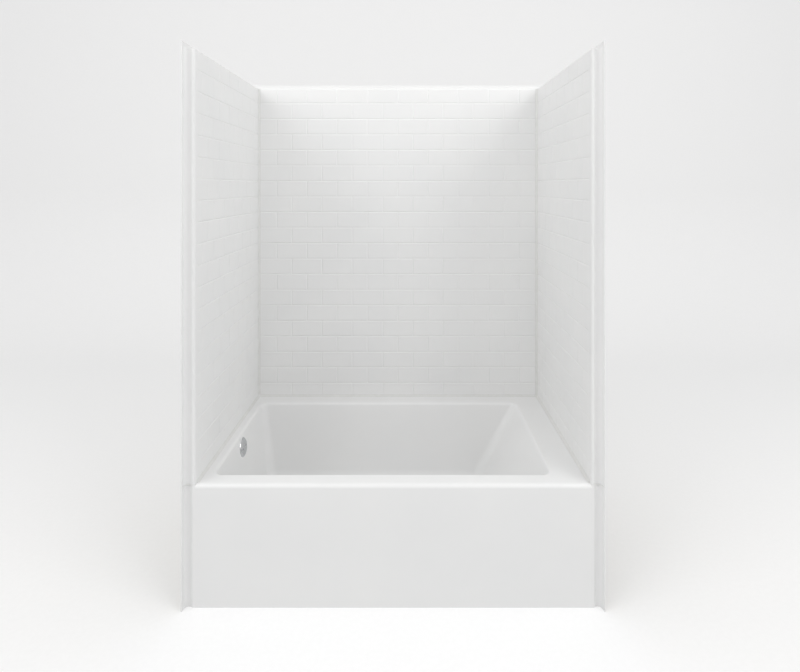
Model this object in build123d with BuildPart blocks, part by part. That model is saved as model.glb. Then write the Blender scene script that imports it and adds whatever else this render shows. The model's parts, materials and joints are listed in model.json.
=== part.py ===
from build123d import *
import os
from math import atan2, ceil, cos, degrees, sin

os.makedirs("parts", exist_ok=True)

# Alcove tub and shower unit, in millimetres. X runs to the right as seen from the room, Y to the
# back wall and Z up. The origin is on the floor under the middle of the unit's footprint.

# Overall size
unit_width = 1524.0
unit_depth = 813.0
unit_height = 2050.0
deck_height = 445.0

# Sheet thickness of the mouldings and their distance from the framing round the alcove
wall_thickness = 4.0
tub_thickness = 6.0
side_standoff = 44.0
back_standoff = 28.0
front_setback = 18.0
flange_gap = 1.0
top_flange_height = 22.0

# Rounded corners of the mouldings
front_cove_radius = 16.0
column_bead_radius = 8.0
deck_edge_radius = 14.0
deck_lip_drop = 30.0
upstand_height = 20.0

# Basin
front_rim_width = 70.0
back_rim_width = 83.0
left_rim_width = 43.0
right_rim_width = 128.0
basin_floor_height = 95.0
drain_end_draft = 43.0
backrest_draft = 190.0
side_draft = 33.5
opening_corner_radius = 30.0
floor_corner_radius = 50.0
floor_blend_radius = 40.0
rim_blend_radius = 12.0

# Tile relief
top_row_height = 74.0
row_pitch = 80.0
joint_width = 5.0
tile_relief = 1.2
back_tile_length = 156.0
end_tile_length = 115.0
least_tile_length = 30.0
left_first_joint = 74.0
right_first_joint = 46.0
plain_border = 16.5

# Seals in the joints between the four mouldings
seal_thickness = 1.0
seal_bead = 10.0

# Bolts of those joints
bolt_radius = 3.0
bolt_hole_gap = 0.3
thread_gap = 0.05
bolt_head_width = 10.0
bolt_head_height = 4.0
bolt_end = 2.0
nut_height = 5.0
washer_radius = 6.0
washer_thickness = 1.5
side_bolt_inset = 24.0
back_bolt_inset = 14.0
side_bolt_shares = (0.08, 0.36, 0.64, 0.92)
back_bolt_shares = (0.06, 0.28, 0.5, 0.72, 0.94)
corner_bolt_shares = (0.06, 0.2, 0.35, 0.5, 0.65, 0.8, 0.94)

# Stiffening behind the walls
rib_width = 40.0
rib_depth = 20.0
rib_end_gap = 78.0
rib_chamfer = 5.0
rib_height_shares = (0.12, 0.31, 0.5, 0.69, 0.88)
backer_width = 500.0
backer_height = 1150.0
backer_thickness = 12.0
backer_corner_radius = 20.0
backer_height_share = 0.55

# Timber under the tub
board_thickness = 15.0
board_margin = 7.0
board_corner_radius = 15.0
runner_width = 45.0
runner_spacing = 170.0
timber_chamfer = 2.0
notch_gap = 6.0
stiffener_end_gap = 158.0
stiffener_top_gap = 39.0
stiffener_foot = 90.0
stiffener_thickness = 12.0
batten_end_gap = 18.0
batten_height = 70.0
batten_depth = 22.0
leg_width = 60.0
leg_setback = 16.0
leg_shares = (0.1, 0.5, 0.9)
brace_thickness = 18.0
brace_spacing = 220.0
brace_rise = 71.0
brace_top_gap = 19.0
brace_back = 58.0

# Waste: 1 1/2 inch tubing and its slip joints
tube_radius = 19.05
tube_wall = 1.2
socket_gap = 0.2
socket_radius = 22.5
socket_depth = 24.0
socket_bore_radius = 16.5
slip_gap = 0.05
slip_washer_thickness = 3.0
nut_width = 54.0
nut_grip = 11.0
nut_lip = 2.0
outlet_depth = 25.0
tee_foot = 12.0
tee_rise = 60.0
tee_branch_length = 42.0
waste_axis_drop = 31.0
stack_inset = 47.0

# Overflow
overflow_drop = 59.0
overflow_hole_radius = 26.0
overflow_gasket_radius = 36.0
overflow_gasket_thickness = 5.0
elbow_flange_thickness = 4.0
elbow_neck_radius = 28.0
elbow_bore_radius = 24.0
elbow_drop = 45.0
elbow_crown = 24.0
elbow_bar_width = 9.0
elbow_bar_thickness = 4.0
plate_radius = 39.5
plate_height = 7.0
plate_flat_radius = 27.0
plate_thickness = 1.5
plate_notch_width = 24.0
plate_notch_height = 3.0
plate_notch_depth = 8.0
screw_spacing = 36.0
screw_radius = 2.4
screw_head_radius = 4.2
screw_head_height = 2.4
screw_slot_width = 1.0
screw_slot_depth = 1.0

# Drain
drain_inset = 97.0
floor_hole_radius = 23.0
drain_gasket_radius = 36.0
drain_gasket_thickness = 3.0
shoe_flange_radius = 37.0
shoe_flange_thickness = 4.0
shoe_radius = 28.0
shoe_bottom_thickness = 4.0
shoe_depth = 53.0
shoe_branch_length = 50.0
shoe_socket_radius = 21.5
shoe_socket_depth = 20.0
drain_disc_radius = 37.0
drain_disc_thickness = 3.0
drain_barrel_radius = 22.4
drain_bore_radius = 19.0
drain_barrel_length = 25.0
cross_bar_width = 4.0
cross_bar_thickness = 4.0
cross_boss_radius = 7.0

# Stopper
post_radius = 4.0
post_height = 34.0
sleeve_radius = 8.0
sleeve_below_disc = 18.0
running_gap = 0.05
seal_lift = 0.3
stopper_seal_radius = 21.5
stopper_seal_thickness = 3.0
collar_radius = 13.0
collar_thickness = 2.0
cap_radius = 25.0
cap_thickness = 6.5
cap_skirt_width = 2.5
cap_skirt_drop = 1.5
cap_edge_radius = 2.5
knob_radius = 9.0
knob_height = 12.0
knob_grip_width = 9.0
knob_grip_height = 9.0
knob_edge_radius = 1.5

# Planes and lines that several pieces share
stud_x = unit_width / 2
stud_y = unit_depth / 2
front_y = -stud_y
wall_x = stud_x - side_standoff
wall_y = stud_y - back_standoff
flange_x = stud_x - wall_thickness
back_flange_y = stud_y - wall_thickness
face_y = front_y + front_setback
edge_y = face_y + deck_edge_radius
edge_z = deck_height - deck_edge_radius
inner_y = face_y + tub_thickness
ledge_z = unit_height - top_flange_height
wall_base_z = deck_height + seal_thickness
deck_under_z = deck_height - tub_thickness
seam_x = flange_x - flange_gap
seam_y = wall_y - seal_thickness
back_seam_y = back_flange_y - flange_gap
cove_x = flange_x - front_cove_radius
cove_y = face_y - front_cove_radius
bead_x = wall_x + column_bead_radius
bead_y = face_y + column_bead_radius
opening_left = left_rim_width - wall_x
opening_right = wall_x - right_rim_width
opening_front = face_y + front_rim_width
opening_back = wall_y - back_rim_width
floor_z = basin_floor_height
basin_depth = deck_height - basin_floor_height
floor_left = opening_left + drain_end_draft
floor_right = opening_right - backrest_draft
floor_front = opening_front + side_draft
floor_back = opening_back - side_draft
under_z = floor_z - tub_thickness
basin_y = (opening_front + opening_back) / 2
side_flange_foot_y = face_y + wall_thickness


def column_line(gap):
    """Front flange, cove, column and bead of the left end panel, a gap behind the finished face."""
    Line((-flange_x - gap, front_y), (-flange_x - gap, cove_y))
    CenterArc((-cove_x, cove_y), front_cove_radius + gap, 90, 90)
    Line((-cove_x, face_y + gap), (-bead_x, face_y + gap))
    CenterArc((-bead_x, bead_y), column_bead_radius - gap, -90, 90)
    Line((-wall_x - gap, bead_y), (-wall_x - gap, seam_y - gap))


def tile_rows():
    """Lower and upper edge of each tile row, from the ledge down to the deck joint."""
    rows = []
    upper = ledge_z
    line = ledge_z - top_row_height
    while line - joint_width > wall_base_z:
        rows.append((line + joint_width / 2, upper))
        upper = line - joint_width / 2
        line -= row_pitch
    rows.append((wall_base_z, upper))
    return rows


def row_tiles(start, end, joint, pitch):
    """Start and end of each tile between two limits, for a row with a joint at the given place.

    A joint that would leave less than the least tile beside a limit is left out.
    """
    edge = joint + pitch * ceil((start + least_tile_length - joint) / pitch)
    left = start
    tiles = []
    while edge < end - least_tile_length:
        tiles.append((left, edge - joint_width / 2))
        left = edge + joint_width / 2
        edge += pitch
    tiles.append((left, end))
    return tiles


def cut_joints(face, start, end, joint, pitch):
    """Cut the grooves between the tiles of one wall into its finished face."""
    sizes = {}
    for index, (low, high) in enumerate(tile_rows()):
        shift = pitch / 2 * (index % 2)
        for left, right in row_tiles(start, end, joint + shift, pitch):
            size = (round(right - left, 6), round(high - low, 6))
            sizes.setdefault(size, []).append(((left + right) / 2, (low + high) / 2))
    with BuildSketch(face) as joints:
        with Locations(((start + end) / 2, (ledge_z + wall_base_z) / 2)):
            Rectangle(end - start, ledge_z - wall_base_z)
        for (width, height), centres in sizes.items():
            with Locations(*centres):
                Rectangle(width, height, mode=Mode.SUBTRACT)
    extrude(joints.sketch, amount=-tile_relief, mode=Mode.SUBTRACT)


def block(left, right, front, back, low, high, mode=Mode.ADD):
    """A square block between two limits on each axis."""
    with BuildSketch(Plane.XY.offset(low)) as outline:
        with Locations(((left + right) / 2, (front + back) / 2)):
            Rectangle(right - left, back - front)
    extrude(outline.sketch, amount=high - low, mode=mode)


def disc(base, radius, height, mode=Mode.ADD):
    """A round disc or boss standing on a plane."""
    with BuildSketch(base) as outline:
        Circle(radius)
    extrude(outline.sketch, amount=height, mode=mode)


def basin_form(growth, blend):
    """The basin as a solid, grown outwards and, along its own slopes, downwards."""
    share = growth / basin_depth
    top = (opening_left, opening_right, opening_front, opening_back, deck_height)
    foot = (floor_left + drain_end_draft * share, floor_right - backrest_draft * share,
            floor_front + side_draft * share, floor_back - side_draft * share, floor_z - growth)
    corners = (opening_corner_radius, floor_corner_radius)
    with BuildPart() as form:
        for (left, right, front, back, level), corner in zip((top, foot), corners):
            middle = Plane(((left + right) / 2, (front + back) / 2, level))
            width = right - left + growth + growth
            length = back - front + growth + growth
            with BuildSketch(middle):
                RectangleRounded(width, length, corner + growth)
        loft(ruled=True)
        fillet(form.edges().group_by(Axis.Z)[0], blend + growth)
    return form.part


# Points where the bolts of the joints pass
deck_bolt_x = stud_x - side_bolt_inset
deck_bolt_y = stud_y - back_bolt_inset
side_run = seam_y - side_flange_foot_y
deck_bolt_points = []
for side in (-1, 1):
    for share in side_bolt_shares:
        deck_bolt_points.append((side * deck_bolt_x, side_flange_foot_y + share * side_run))
for share in back_bolt_shares:
    deck_bolt_points.append(((share + share - 1) * wall_x, deck_bolt_y))
corner_bolt_points = []
for side in (-1, 1):
    for share in corner_bolt_shares:
        height = wall_base_z + share * (ledge_z - wall_base_z)
        corner_bolt_points.append((side * deck_bolt_x, height))
bolt_hole_radius = bolt_radius + bolt_hole_gap

# Overflow axis: square to the drain end of the basin, which leans back
lean = atan2(drain_end_draft, basin_depth)
overflow_x = opening_left + drain_end_draft * overflow_drop / basin_depth
overflow_face = Plane(
    (overflow_x, basin_y, deck_height - overflow_drop), x_dir=(0, 1, 0), z_dir=(cos(lean), 0, sin(lean))
)
overflow_back = overflow_face.offset(-tub_thickness * cos(lean))
screw_points = ((-screw_spacing / 2, 0), (screw_spacing / 2, 0))

# Drain axis
drain_x = floor_left + drain_inset
drain_floor = Plane((drain_x, basin_y, floor_z))
drain_under = Plane((drain_x, basin_y, under_z))

# Tub: deck, apron and basin in one moulding. Its rounded front edge ends at the wall columns, which
# stand flush with the apron on square pads.
with BuildPart() as tub_shell:
    with BuildSketch(Plane.YZ.offset(-stud_x)):
        with BuildLine():
            Line((face_y, 0), (face_y, edge_z))
            CenterArc((edge_y, edge_z), deck_edge_radius, 90, 90)
            Polyline((edge_y, deck_height), (stud_y, deck_height), (stud_y, deck_under_z),
                     (edge_y, deck_under_z))
            CenterArc((edge_y, edge_z), deck_edge_radius - tub_thickness, 90, 90)
            Polyline((inner_y, edge_z), (inner_y, 0), (face_y, 0))
        make_face()
    extrude(amount=unit_width)
    with BuildSketch(Plane.XY):
        with BuildLine():
            CenterArc((-cove_x, cove_y), front_cove_radius, 90, 90)
            Polyline((-flange_x, cove_y), (-flange_x, face_y), (-cove_x, face_y))
        make_face()
        mirror(about=Plane.YZ)
    extrude(amount=deck_height)
    with BuildSketch(Plane.XY.offset(edge_z)):
        with BuildLine():
            CenterArc((-bead_x, bead_y), column_bead_radius, -90, 90)
            Polyline((-wall_x, bead_y), (-wall_x, edge_y), (-flange_x, edge_y), (-flange_x, face_y),
                     (-bead_x, face_y))
        make_face()
        mirror(about=Plane.YZ)
    extrude(amount=deck_edge_radius)
    lip_low = deck_height - deck_lip_drop
    lip_high = deck_height + upstand_height
    for side in (-1, 1):
        outer, inner = sorted((side * stud_x, side * flange_x))
        block(outer, inner, front_y, inner_y, 0, deck_height)
        block(outer, inner, inner_y, stud_y, lip_low, deck_height)
        block(outer, inner, bead_y, stud_y, deck_height, lip_high)
    block(-stud_x, stud_x, back_flange_y, stud_y, lip_low, lip_high)
    add(basin_form(tub_thickness, floor_blend_radius))
    add(basin_form(0, floor_blend_radius), mode=Mode.SUBTRACT)
    rim = tub_shell.edges().filter_by_position(Axis.Z, deck_height, deck_height)
    rim = rim.filter_by_position(Axis.X, opening_left, opening_right)
    rim = rim.filter_by_position(Axis.Y, opening_front, opening_back)
    fillet(rim, rim_blend_radius)
    disc(overflow_face, overflow_hole_radius, tub_thickness, Mode.SUBTRACT)
    disc(overflow_face, overflow_hole_radius, -tub_thickness, Mode.SUBTRACT)
    disc(drain_under, floor_hole_radius, tub_thickness, Mode.SUBTRACT)
    with BuildSketch(Plane.XY.offset(deck_under_z)):
        with Locations(*deck_bolt_points):
            Circle(bolt_hole_radius)
    extrude(amount=tub_thickness, mode=Mode.SUBTRACT)
tub_shell.part.label = "tub_shell"
export_step(tub_shell.part, "parts/tub_shell.step")

# Back wall panel: flat sheet with a flange behind its foot and a stepped flange along its top
back_face = Plane((0, wall_y, 0), x_dir=(1, 0, 0), z_dir=(0, -1, 0))
with BuildPart() as back_wall:
    block(-seam_x, seam_x, wall_y, wall_y + wall_thickness, wall_base_z, ledge_z)
    block(-seam_x, seam_x, wall_y, back_seam_y, wall_base_z, wall_base_z + wall_thickness)
    block(-stud_x, stud_x, wall_y, stud_y, ledge_z - wall_thickness, ledge_z)
    block(-stud_x, stud_x, back_flange_y, stud_y, ledge_z, unit_height)
    for side in (-1, 1):
        outer, inner = sorted((side * stud_x, side * flange_x))
        block(outer, inner, wall_y, stud_y, ledge_z, unit_height)
    cut_joints(back_face, -wall_x, wall_x, 0, back_tile_length)
    with BuildSketch(back_face):
        with Locations(*corner_bolt_points):
            Circle(bolt_hole_radius)
    extrude(amount=-wall_thickness, mode=Mode.SUBTRACT)
    with BuildSketch(Plane.XY.offset(wall_base_z)):
        with Locations(*deck_bolt_points):
            Circle(bolt_hole_radius)
    extrude(amount=wall_thickness, mode=Mode.SUBTRACT)
back_wall.part.label = "back_wall"
export_step(back_wall.part, "parts/back_wall.step")

# Section of the left end panel's sheet
with BuildSketch(Plane.XY) as end_section:
    with BuildLine():
        column_line(0)
        column_line(wall_thickness)
        Line((-flange_x, front_y), (-stud_x, front_y))
        Line((-wall_x, seam_y), (-wall_x - wall_thickness, seam_y - wall_thickness))
    make_face()

# End wall panel without its tiles, as it stands on the left
with BuildPart() as end_panel:
    with BuildSketch(Plane.XY.offset(wall_base_z)):
        add(end_section.sketch)
    extrude(amount=ledge_z - wall_base_z)
    with BuildSketch(Plane.XY.offset(ledge_z - wall_thickness)):
        with BuildLine():
            column_line(0)
            Polyline((-wall_x, seam_y), (-stud_x, seam_y), (-stud_x, front_y), (-flange_x, front_y))
        make_face()
    extrude(amount=wall_thickness)
    block(-stud_x, -flange_x, front_y, seam_y, ledge_z, unit_height)
    block(-seam_x, -wall_x, seam_y - wall_thickness, seam_y, wall_base_z, ledge_z)
    block(-seam_x, -wall_x - wall_thickness, side_flange_foot_y, seam_y,
          wall_base_z, wall_base_z + wall_thickness)
    with BuildSketch(Plane((0, seam_y, 0), x_dir=(1, 0, 0), z_dir=(0, -1, 0))):
        with Locations(*corner_bolt_points):
            Circle(bolt_hole_radius)
    extrude(amount=wall_thickness, mode=Mode.SUBTRACT)
    with BuildSketch(Plane.XY.offset(wall_base_z)):
        with Locations(*deck_bolt_points):
            Circle(bolt_hole_radius)
    extrude(amount=wall_thickness, mode=Mode.SUBTRACT)

field_front = bead_y + plain_border
left_face = Plane((-wall_x, 0, 0), x_dir=(0, 1, 0), z_dir=(1, 0, 0))
with BuildPart() as left_wall:
    add(end_panel.part)
    cut_joints(left_face, field_front, seam_y, wall_y - left_first_joint, end_tile_length)
left_wall.part.label = "left_wall"
export_step(left_wall.part, "parts/left_wall.step")

right_face = Plane((wall_x, 0, 0), x_dir=(0, -1, 0), z_dir=(-1, 0, 0))
with BuildPart() as right_wall:
    mirror(end_panel.part, about=Plane.YZ)
    cut_joints(right_face, -seam_y, -field_front, right_first_joint - wall_y, end_tile_length)
right_wall.part.label = "right_wall"
export_step(right_wall.part, "parts/right_wall.step")

# Clear space inside the walls, with the rounded inside corners that the seals give it
with BuildPart() as clear_space:
    block(-wall_x, wall_x, edge_y, wall_y, deck_height, ledge_z)
    sharp = clear_space.edges().filter_by(Axis.Z).group_by(Axis.Y)[-1]
    sharp += clear_space.edges().group_by(Axis.Z)[0].filter_by(Axis.Y)
    sharp += clear_space.edges().group_by(Axis.Z)[0].filter_by(Axis.X).sort_by(Axis.Y)[-1:]
    fillet(sharp, seal_bead)

bead_top_z = deck_height + seal_bead
with BuildPart() as deck_seal:
    block(-wall_x, wall_x, edge_y, wall_y, deck_height, bead_top_z)
    add(clear_space.part, mode=Mode.SUBTRACT)
    with BuildSketch(Plane.XY.offset(deck_height)):
        add(end_section.sketch)
        mirror(about=Plane.YZ)
    extrude(amount=seal_thickness)
    for side in (-1, 1):
        outer, inner = sorted((side * seam_x, side * wall_x))
        block(outer, inner, bead_y, wall_y, deck_height, wall_base_z)
    block(-seam_x, seam_x, wall_y, back_seam_y, deck_height, wall_base_z)
    with BuildSketch(Plane.XY.offset(deck_height)):
        with Locations(*deck_bolt_points):
            Circle(bolt_hole_radius)
    extrude(amount=seal_thickness, mode=Mode.SUBTRACT)
deck_seal.part.label = "deck_seal"
export_step(deck_seal.part, "parts/deck_seal.step")

with BuildPart() as left_corner_seal:
    block(-wall_x, seal_bead - wall_x, wall_y - seal_bead, wall_y, bead_top_z, ledge_z)
    add(clear_space.part, mode=Mode.SUBTRACT)
    block(-seam_x, -wall_x, seam_y, wall_y, wall_base_z, ledge_z)
    with BuildSketch(back_face):
        with Locations(*corner_bolt_points):
            Circle(bolt_hole_radius)
    extrude(amount=seal_thickness, mode=Mode.SUBTRACT)
left_corner_seal.part.label = "left_corner_seal"
export_step(left_corner_seal.part, "parts/left_corner_seal.step")

with BuildPart() as right_corner_seal:
    mirror(left_corner_seal.part, about=Plane.YZ)
right_corner_seal.part.label = "right_corner_seal"
export_step(right_corner_seal.part, "parts/right_corner_seal.step")


def bolt_set(head_face, points, grip):
    """Bolts, washers and nuts for points on the face under the bolt heads."""
    nut_face = head_face.offset(-grip)
    with BuildPart() as bolts:
        with BuildSketch(head_face.offset(washer_thickness)):
            with Locations(*points):
                RegularPolygon(bolt_head_width / 2, 6, major_radius=False)
        extrude(amount=bolt_head_height)
        with BuildSketch(nut_face.offset(-washer_thickness - nut_height - bolt_end)):
            with Locations(*points):
                Circle(bolt_radius)
        extrude(amount=grip + 2 * washer_thickness + nut_height + bolt_end)
    with BuildPart() as washers:
        for plane in (head_face, nut_face.offset(-washer_thickness)):
            with BuildSketch(plane):
                with Locations(*points):
                    Circle(washer_radius)
                    Circle(bolt_hole_radius, mode=Mode.SUBTRACT)
            extrude(amount=washer_thickness)
    with BuildPart() as nuts:
        with BuildSketch(nut_face.offset(-washer_thickness - nut_height)):
            with Locations(*points):
                RegularPolygon(bolt_head_width / 2, 6, major_radius=False)
                Circle(bolt_radius + thread_gap, mode=Mode.SUBTRACT)
        extrude(amount=nut_height)
    return bolts, washers, nuts


# Bolts through the end panels' rear flanges and the back panel
corner_head_face = Plane((0, seam_y - wall_thickness, 0), x_dir=(1, 0, 0), z_dir=(0, -1, 0))
corner_bolts, corner_washers, corner_nuts = bolt_set(
    corner_head_face, corner_bolt_points, wall_thickness + seal_thickness + wall_thickness
)
corner_bolts.part.label = "corner_bolts"
export_step(corner_bolts.part, "parts/corner_bolts.step")
corner_washers.part.label = "corner_washers"
export_step(corner_washers.part, "parts/corner_washers.step")
corner_nuts.part.label = "corner_nuts"
export_step(corner_nuts.part, "parts/corner_nuts.step")

# Bolts through the feet of the wall panels and the tub's deck
deck_bolts, deck_washers, deck_nuts = bolt_set(
    Plane.XY.offset(wall_base_z + wall_thickness), deck_bolt_points,
    wall_thickness + seal_thickness + tub_thickness
)
deck_bolts.part.label = "deck_bolts"
export_step(deck_bolts.part, "parts/deck_bolts.step")
deck_washers.part.label = "deck_washers"
export_step(deck_washers.part, "parts/deck_washers.step")
deck_nuts.part.label = "deck_nuts"
export_step(deck_nuts.part, "parts/deck_nuts.step")

# Ribs behind the back wall panel
with BuildPart() as back_wall_ribs:
    rib_half = wall_x - rib_end_gap
    rib_points = [(0, wall_base_z + share * (ledge_z - wall_base_z)) for share in rib_height_shares]
    with BuildSketch(Plane((0, wall_y + wall_thickness, 0), x_dir=(-1, 0, 0), z_dir=(0, 1, 0))):
        with Locations(*rib_points):
            Rectangle(2 * rib_half, rib_width)
    extrude(amount=rib_depth)
    chamfer(back_wall_ribs.faces().group_by(Axis.Y)[-1].edges(), rib_chamfer)
back_wall_ribs.part.label = "back_wall_ribs"
export_step(back_wall_ribs.part, "parts/back_wall_ribs.step")

# Plywood backer behind each end wall panel
backer_y = (bead_y + seam_y) / 2
backer_z = wall_base_z + backer_height_share * (ledge_z - wall_base_z)
with BuildPart() as left_wall_backer:
    outside = Plane((-wall_x - wall_thickness, backer_y, backer_z), x_dir=(0, -1, 0), z_dir=(-1, 0, 0))
    with BuildSketch(outside):
        RectangleRounded(backer_width, backer_height, backer_corner_radius)
    extrude(amount=backer_thickness)
left_wall_backer.part.label = "left_wall_backer"
export_step(left_wall_backer.part, "parts/left_wall_backer.step")

with BuildPart() as right_wall_backer:
    mirror(left_wall_backer.part, about=Plane.YZ)
right_wall_backer.part.label = "right_wall_backer"
export_step(right_wall_backer.part, "parts/right_wall_backer.step")

# Board bonded under the flat of the basin, notched round the drain shoe
board_left = floor_left + floor_blend_radius + board_margin
board_right = floor_right - floor_blend_radius - board_margin
board_front = floor_front + floor_blend_radius + board_margin
board_back = floor_back - floor_blend_radius - board_margin
board_low = under_z - board_thickness
notch_half = shoe_flange_radius + notch_gap
with BuildPart() as basin_floor_board:
    board_middle = Plane(((board_left + board_right) / 2, (board_front + board_back) / 2, board_low))
    with BuildSketch(board_middle):
        RectangleRounded(board_right - board_left, board_back - board_front, board_corner_radius)
    extrude(amount=board_thickness)
    block(board_left, drain_x, basin_y - notch_half, basin_y + notch_half, board_low, under_z,
          Mode.SUBTRACT)
    disc(Plane((drain_x, basin_y, board_low)), notch_half, board_thickness, Mode.SUBTRACT)
basin_floor_board.part.label = "basin_floor_board"
export_step(basin_floor_board.part, "parts/basin_floor_board.step")

# Runners from that board down to the floor
with BuildPart() as support_runners:
    for row in (-1, 0, 1):
        start = drain_x + notch_half + notch_gap if row == 0 else board_left + board_margin
        middle_y = basin_y + row * runner_spacing
        block(start, board_right - board_margin, middle_y - runner_width / 2,
              middle_y + runner_width / 2, 0, board_low)
    chamfer(support_runners.edges().filter_by(Axis.Z), timber_chamfer)
support_runners.part.label = "support_runners"
export_step(support_runners.part, "parts/support_runners.step")

# Board and batten behind the apron
with BuildPart() as apron_stiffener:
    block(stiffener_end_gap - flange_x, flange_x - stiffener_end_gap, inner_y,
          inner_y + stiffener_thickness, stiffener_foot, deck_under_z - stiffener_top_gap)
    chamfer(apron_stiffener.faces().sort_by(Axis.Y)[-1].edges(), timber_chamfer)
apron_stiffener.part.label = "apron_stiffener"
export_step(apron_stiffener.part, "parts/apron_stiffener.step")

with BuildPart() as apron_batten:
    block(batten_end_gap - flange_x, flange_x - batten_end_gap, inner_y, inner_y + batten_depth,
          0, batten_height)
    chamfer(apron_batten.faces().sort_by(Axis.Y)[-1].edges().filter_by(Axis.X), timber_chamfer)
apron_batten.part.label = "apron_batten"
export_step(apron_batten.part, "parts/apron_batten.step")

# Legs under the rear of the deck
with BuildPart() as rear_legs:
    leg_back = wall_y - leg_setback + wall_thickness
    for share in leg_shares:
        middle_x = (share + share - 1) * wall_x
        block(middle_x - leg_width / 2, middle_x + leg_width / 2, leg_back - leg_width, leg_back,
              0, deck_under_z)
    chamfer(rear_legs.edges().filter_by(Axis.Z), timber_chamfer)
rear_legs.part.label = "rear_legs"
export_step(rear_legs.part, "parts/rear_legs.step")


def backrest_x(height):
    """Outside of the sloping backrest at a height above the floor."""
    return opening_right + tub_thickness - (deck_height - height) * backrest_draft / basin_depth


# Gussets under the sloping backrest
brace_low = under_z + brace_rise
brace_high = deck_under_z - brace_top_gap
with BuildPart() as backrest_braces:
    for side in (-1, 1):
        middle_y = basin_y + side * brace_spacing / 2
        brace_x = backrest_x(brace_high) + brace_back
        with BuildSketch(Plane.XZ.offset(-middle_y - brace_thickness / 2)):
            with BuildLine():
                Polyline((backrest_x(brace_low), 0), (backrest_x(brace_low), brace_low),
                         (backrest_x(brace_high), brace_high), (brace_x, brace_high), (brace_x, 0),
                         close=True)
            make_face()
        extrude(amount=brace_thickness)
backrest_braces.part.label = "backrest_braces"
export_step(backrest_braces.part, "parts/backrest_braces.step")


def slip_joint(mouth):
    """Washer and nut that close a socket on its tube, for a mouth that faces out along the tube."""
    with BuildPart() as washer:
        disc(mouth, socket_radius, slip_washer_thickness)
        disc(mouth, tube_radius + slip_gap, slip_washer_thickness, Mode.SUBTRACT)
    with BuildPart() as nut:
        foot = mouth.offset(-nut_grip)
        with BuildSketch(foot):
            RegularPolygon(nut_width / 2, 8, major_radius=False)
        extrude(amount=nut_grip + slip_washer_thickness + nut_lip)
        disc(foot, socket_radius + slip_gap, nut_grip + slip_washer_thickness, Mode.SUBTRACT)
        disc(mouth, tube_radius + socket_gap, slip_washer_thickness + nut_lip, Mode.SUBTRACT)
    return washer, nut


# Waste stack: the tee stands behind the drain end, under the overflow
stack_x = -stud_x + stack_inset
waste_axis_z = under_z - waste_axis_drop
tee_top = waste_axis_z + tee_rise
tee_height = tee_top - tee_foot
tee_mouth = Plane((stack_x, basin_y, tee_top))
tee_outlet = Plane((stack_x, basin_y, tee_foot))
branch_axis = Plane((stack_x, basin_y, waste_axis_z), x_dir=(0, 1, 0), z_dir=(1, 0, 0))
branch_mouth = branch_axis.offset(tee_branch_length)
with BuildPart() as waste_tee:
    disc(tee_outlet, socket_radius, tee_height)
    disc(branch_axis, socket_radius, tee_branch_length)
    disc(tee_outlet, socket_bore_radius, tee_height, Mode.SUBTRACT)
    disc(branch_axis, socket_bore_radius, tee_branch_length, Mode.SUBTRACT)
    disc(tee_outlet, tube_radius + socket_gap, outlet_depth, Mode.SUBTRACT)
    disc(tee_mouth.offset(-socket_depth), tube_radius + socket_gap, socket_depth, Mode.SUBTRACT)
    disc(branch_mouth.offset(-socket_depth), tube_radius + socket_gap, socket_depth, Mode.SUBTRACT)
waste_tee.part.label = "waste_tee"
export_step(waste_tee.part, "parts/waste_tee.step")

tee_top_washer, tee_top_nut = slip_joint(tee_mouth)
tee_top_washer.part.label = "tee_top_washer"
export_step(tee_top_washer.part, "parts/tee_top_washer.step")
tee_top_nut.part.label = "tee_top_nut"
export_step(tee_top_nut.part, "parts/tee_top_nut.step")

tee_branch_washer, tee_branch_nut = slip_joint(branch_mouth)
tee_branch_washer.part.label = "tee_branch_washer"
export_step(tee_branch_washer.part, "parts/tee_branch_washer.step")
tee_branch_nut.part.label = "tee_branch_nut"
export_step(tee_branch_nut.part, "parts/tee_branch_nut.step")

# Overflow elbow, clamped against the outside of the drain end
elbow_face = overflow_back.offset(-overflow_gasket_thickness)
elbow_foot_z = deck_height - overflow_drop - elbow_drop
elbow_mouth = Plane((stack_x, basin_y, elbow_foot_z), x_dir=(1, 0, 0), z_dir=(0, 0, -1))
elbow_height = elbow_drop + elbow_crown
neck_length = (elbow_face.origin.X - stack_x) / cos(lean)
with BuildPart() as overflow_elbow:
    disc(elbow_mouth, socket_radius, -elbow_height)
    disc(elbow_face, overflow_gasket_radius, -elbow_flange_thickness)
    disc(elbow_face, elbow_neck_radius, -neck_length)
    disc(elbow_face, elbow_bore_radius, -neck_length + wall_thickness, Mode.SUBTRACT)
    disc(elbow_mouth, socket_bore_radius, -elbow_drop, Mode.SUBTRACT)
    disc(elbow_mouth, tube_radius + socket_gap, -socket_depth, Mode.SUBTRACT)
    with BuildSketch(elbow_face):
        Rectangle(2 * elbow_bore_radius + 2 * tube_wall, elbow_bar_width)
        with Locations(*screw_points):
            Circle(screw_radius + thread_gap, mode=Mode.SUBTRACT)
    extrude(amount=-elbow_bar_thickness)
overflow_elbow.part.label = "overflow_elbow"
export_step(overflow_elbow.part, "parts/overflow_elbow.step")

overflow_washer, overflow_nut = slip_joint(elbow_mouth)
overflow_washer.part.label = "overflow_washer"
export_step(overflow_washer.part, "parts/overflow_washer.step")
overflow_nut.part.label = "overflow_nut"
export_step(overflow_nut.part, "parts/overflow_nut.step")

with BuildPart() as overflow_gasket:
    disc(overflow_back, overflow_gasket_radius, -overflow_gasket_thickness)
    disc(overflow_back, overflow_hole_radius, -overflow_gasket_thickness, Mode.SUBTRACT)
overflow_gasket.part.label = "overflow_gasket"
export_step(overflow_gasket.part, "parts/overflow_gasket.step")

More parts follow.
